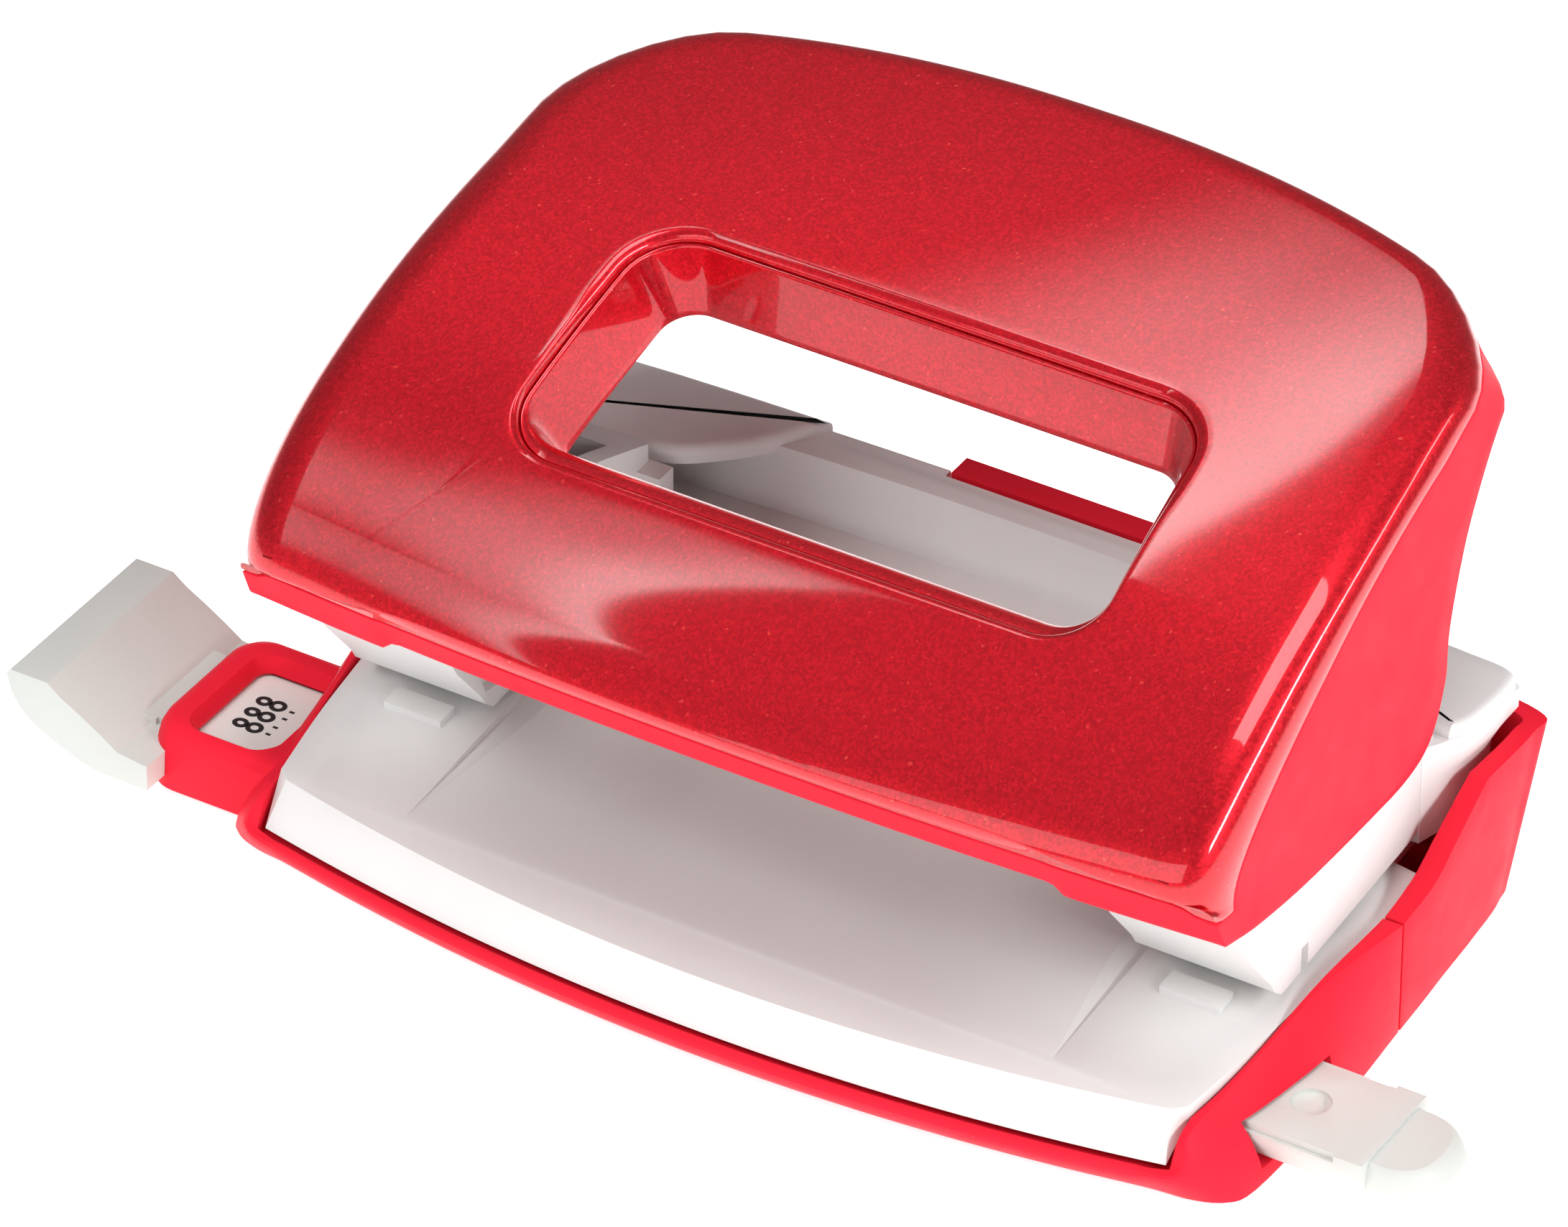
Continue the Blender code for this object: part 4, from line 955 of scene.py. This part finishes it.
def guide_marks():
    """A pale label on the guide with generic numerals and four ticks, all raised a hair."""
    outline = rounded_box_outline(-58.6, -2.4, -50.0, 8.0, 0.5, 4)
    label = prism("label", outline, 5.5, 5.63, material_names=("label",))
    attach(label, "guide")
    points = []
    faces = []
    steps = 36

    def oval(x, y, along, across):
        turns = [2 * math.pi * k / steps for k in range(steps)]
        return [(x + along * math.cos(turn), y + across * math.sin(turn)) for turn in turns]

    def band(outer, inner):
        """The flat band between two ovals, as a closed solid."""
        first = len(points)
        for level in (5.62, 5.66):
            for x, y in (*outer, *inner):
                points.append((x, y, level))
        n = len(outer)
        for i in range(n):
            j = (i + 1) % n
            low, high = first, first + 2 * n
            faces.append((high + i, high + j, high + n + j, high + n + i))
            faces.append((low + j, low + i, low + n + i, low + n + j))
            faces.append((low + i, low + j, high + j, high + i))
            faces.append((low + n + j, low + n + i, high + n + i, high + n + j))

    for y in (0.50, 2.42, 4.34):
        for x, along, across in ((-55.78, 0.80, 0.70), (-54.28, 0.86, 0.80)):
            band(oval(x, y, along, across), oval(x, y, along - 0.46, across - 0.44))
    ink = mesh_object("numerals", points, faces, ("ink",))
    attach(ink, "guide")
    for n, y in enumerate((0.3, 1.5, 3.0, 4.2)):
        tick = box(f"tick_{n}", (-52.95, y - 0.14, 5.6), (-52.45, y + 0.14, 5.66), material_names=("ink",))
        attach(tick, "guide")


base()
plate()
tray()
upper_body()
corner_covers()
guide()
guide_marks()


def springs():
    """The two return springs again, each as a piece on the base with its own copy of the mesh."""
    for side in ("left", "right"):
        node = f"return_spring_{side}"
        made = bpy.data.objects.new(f"spring_{side}", nodes[node].data.copy())
        bpy.context.scene.collection.objects.link(made)
        shade(made, 50)
        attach(made, "base")
        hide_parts(node)
        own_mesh(made)


springs()


# ---------------------------------------------------------------- stage, light and camera

def stage():
    floor = bpy.data.meshes.new("floor")
    size = 3.0
    corners = [(-size, -size, 0), (size, -size, 0), (size, size, 0), (-size, size, 0)]
    floor.from_pydata(corners, [], [(0, 1, 2, 3)])
    made = bpy.data.objects.new("floor", floor)
    bpy.context.scene.collection.objects.link(made)
    shader = Shader("floor")
    shader.base(0.9, specular=0.1)
    shader.main.inputs["Emission Color"].default_value = (1, 1, 1, 1)
    colour = shader.ramp(shader.noise(3, 2.0), [(0.3, 0.90), (0.7, 0.92)])
    shader.link(colour, shader.main.inputs["Base Color"])
    # Painted light: the floor glows white, strength 0.75 within 0.26 m of the punch and fading to nothing by
    # 0.55 m, a pool of emitted light that washes out the shadows around the punch.
    distance = shader.add("ShaderNodeVectorMath", operation="LENGTH")
    shader.link(shader.place, distance.inputs[0])
    painted_light_pool = shader.ramp(distance.outputs["Value"], [(0.26, 0.75), (0.55, 0.0)])
    shader.link(painted_light_pool, shader.main.inputs["Emission Strength"])
    floor.materials.append(shader.material)


def area_light(name, corner_a, corner_b, corner_c, radiance, fade=None):
    """A rectangular light from a corner and its two neighbours, in metres, shining towards the punch.

    fade gives the stops of its brightness along its first side (a to b) and its second (a to c).
    """
    a, b, c = Vector(corner_a), Vector(corner_b), Vector(corner_c)
    wide, tall = (b - a), (c - a)
    data = bpy.data.lights.new(name, "AREA")
    data.shape = "RECTANGLE"
    data.size, data.size_y = wide.length, tall.length
    data.energy = radiance * math.pi * wide.length * tall.length
    made = bpy.data.objects.new(name, data)
    bpy.context.scene.collection.objects.link(made)
    x = wide.normalized()
    z = x.cross(tall).normalized()
    if z.dot(a + (wide + tall) / 2 - Vector((0, 0.01, 0.04))) < 0:
        z = -z
    y = z.cross(x)
    made.matrix_world = Matrix.Translation(a + (wide + tall) / 2) @ Matrix((x, y, z)).transposed().to_4x4()
    if fade:
        data.use_nodes = True
        tree = data.node_tree
        place = tree.nodes.new("ShaderNodeNewGeometry")
        split = tree.nodes.new("ShaderNodeSeparateXYZ")
        product = tree.nodes.new("ShaderNodeMath")
        product.operation = "MULTIPLY"
        tree.links.new(place.outputs["Parametric"], split.inputs[0])
        for k, stops in enumerate(fade):
            if k and y.dot(tall) < 0:  # the second side runs against the light's own axis
                stops = [(1 - where, value) for where, value in reversed(stops)]
            ramp = tree.nodes.new("ShaderNodeValToRGB")
            ramp.color_ramp.interpolation = "EASE"
            while len(ramp.color_ramp.elements) < len(stops):
                ramp.color_ramp.elements.new(0.5)
            for element, (where, value) in zip(ramp.color_ramp.elements, stops):
                element.position = where
                element.color = (value, value, value, 1)
            tree.links.new(split.outputs[k], ramp.inputs["Fac"])
            tree.links.new(ramp.outputs["Color"], product.inputs[k])
        tree.links.new(product.outputs[0], tree.nodes["Emission"].inputs["Strength"])
    return made


def lights():
    world = bpy.data.worlds.new("studio")
    bpy.context.scene.world = world
    world.use_nodes = True
    world.node_tree.nodes["Background"].inputs["Color"].default_value = (1, 1, 1, 1)
    world.node_tree.nodes["Background"].inputs["Strength"].default_value = 0.15
    across = [(0, 0.0), (0.35, 0.0), (0.72, 0.42), (1, 1.0)]
    area_light("softbox_rear", (-0.487, 0.708, 0.9), (-0.322, 0.70, 0.9), (-0.517, 0.108, 0.9), 9.5,
               (across, [(0, 0.2), (0.45, 0.75), (1, 1.0)]))
    across = [(0, 0.0), (0.45, 0.02), (0.75, 0.38), (1, 1.0)]
    area_light("softbox_front", (-0.674, -0.720, 0.9), (-0.568, -0.750, 0.9), (-0.486, -0.050, 0.9), 8.0,
               (across, [(0, 1.0), (0.6, 1.0), (0.85, 0.7), (1, 0.1)]))
    area_light("softbox_low", (-1.519, -2.396, 0.9), (-1.393, -2.457, 0.9), (-0.681, -0.654, 0.9), 6.0,
               (across, [(0, 0.6), (1, 1.0)]))
    area_light("zenith", (-0.1, 0.22, 1.0), (0.34, 0.22, 1.0), (-0.1, -0.22, 1.0), 5.5)
    area_light("front_fill", (-0.6, -1.3, 0.12), (0.5, -1.3, 0.12), (-0.6, -1.2, 0.6), 2.0)
    # The key lights the plate without a second highlight on the handle.
    key = area_light("front_key", (-0.85, -0.85, 1.0), (-0.20, -1.15, 1.0), (-0.70, -0.65, 1.35), 8.0)
    key.visible_glossy = False
    area_light("streak", (0.9, -0.45, 0.30), (0.9, -0.49, 0.41), (0.9, 0.9, 0.80), 26,
               ([(0, 1.0), (1, 1.0)], [(0, 1.0), (0.5, 0.8), (1, 0.2)]))


def camera():
    azimuth, elevation = math.radians(31.34), math.radians(35.5)
    level = math.cos(elevation)
    back = Vector((math.sin(azimuth) * level, -math.cos(azimuth) * level, math.sin(elevation)))
    right = Vector((math.cos(azimuth), math.sin(azimuth), 0))
    up = back.cross(right)
    aim = Vector((0, -8, 8.5)) * MM + right * 5.6 * MM + up * 28.7 * MM
    data = bpy.data.cameras.new("camera")
    data.lens = 264
    data.sensor_width = 36
    data.clip_start = 0.05
    made = bpy.data.objects.new("camera", data)
    bpy.context.scene.collection.objects.link(made)
    roll = Matrix.Rotation(math.radians(0.18), 4, "Z")
    basis = Matrix((right, up, back)).transposed().to_4x4()
    made.matrix_world = Matrix.Translation(aim + back * 1.0026) @ basis @ roll
    bpy.context.scene.camera = made


stage()
lights()
camera()
bpy.context.scene.view_settings.view_transform = "Standard"
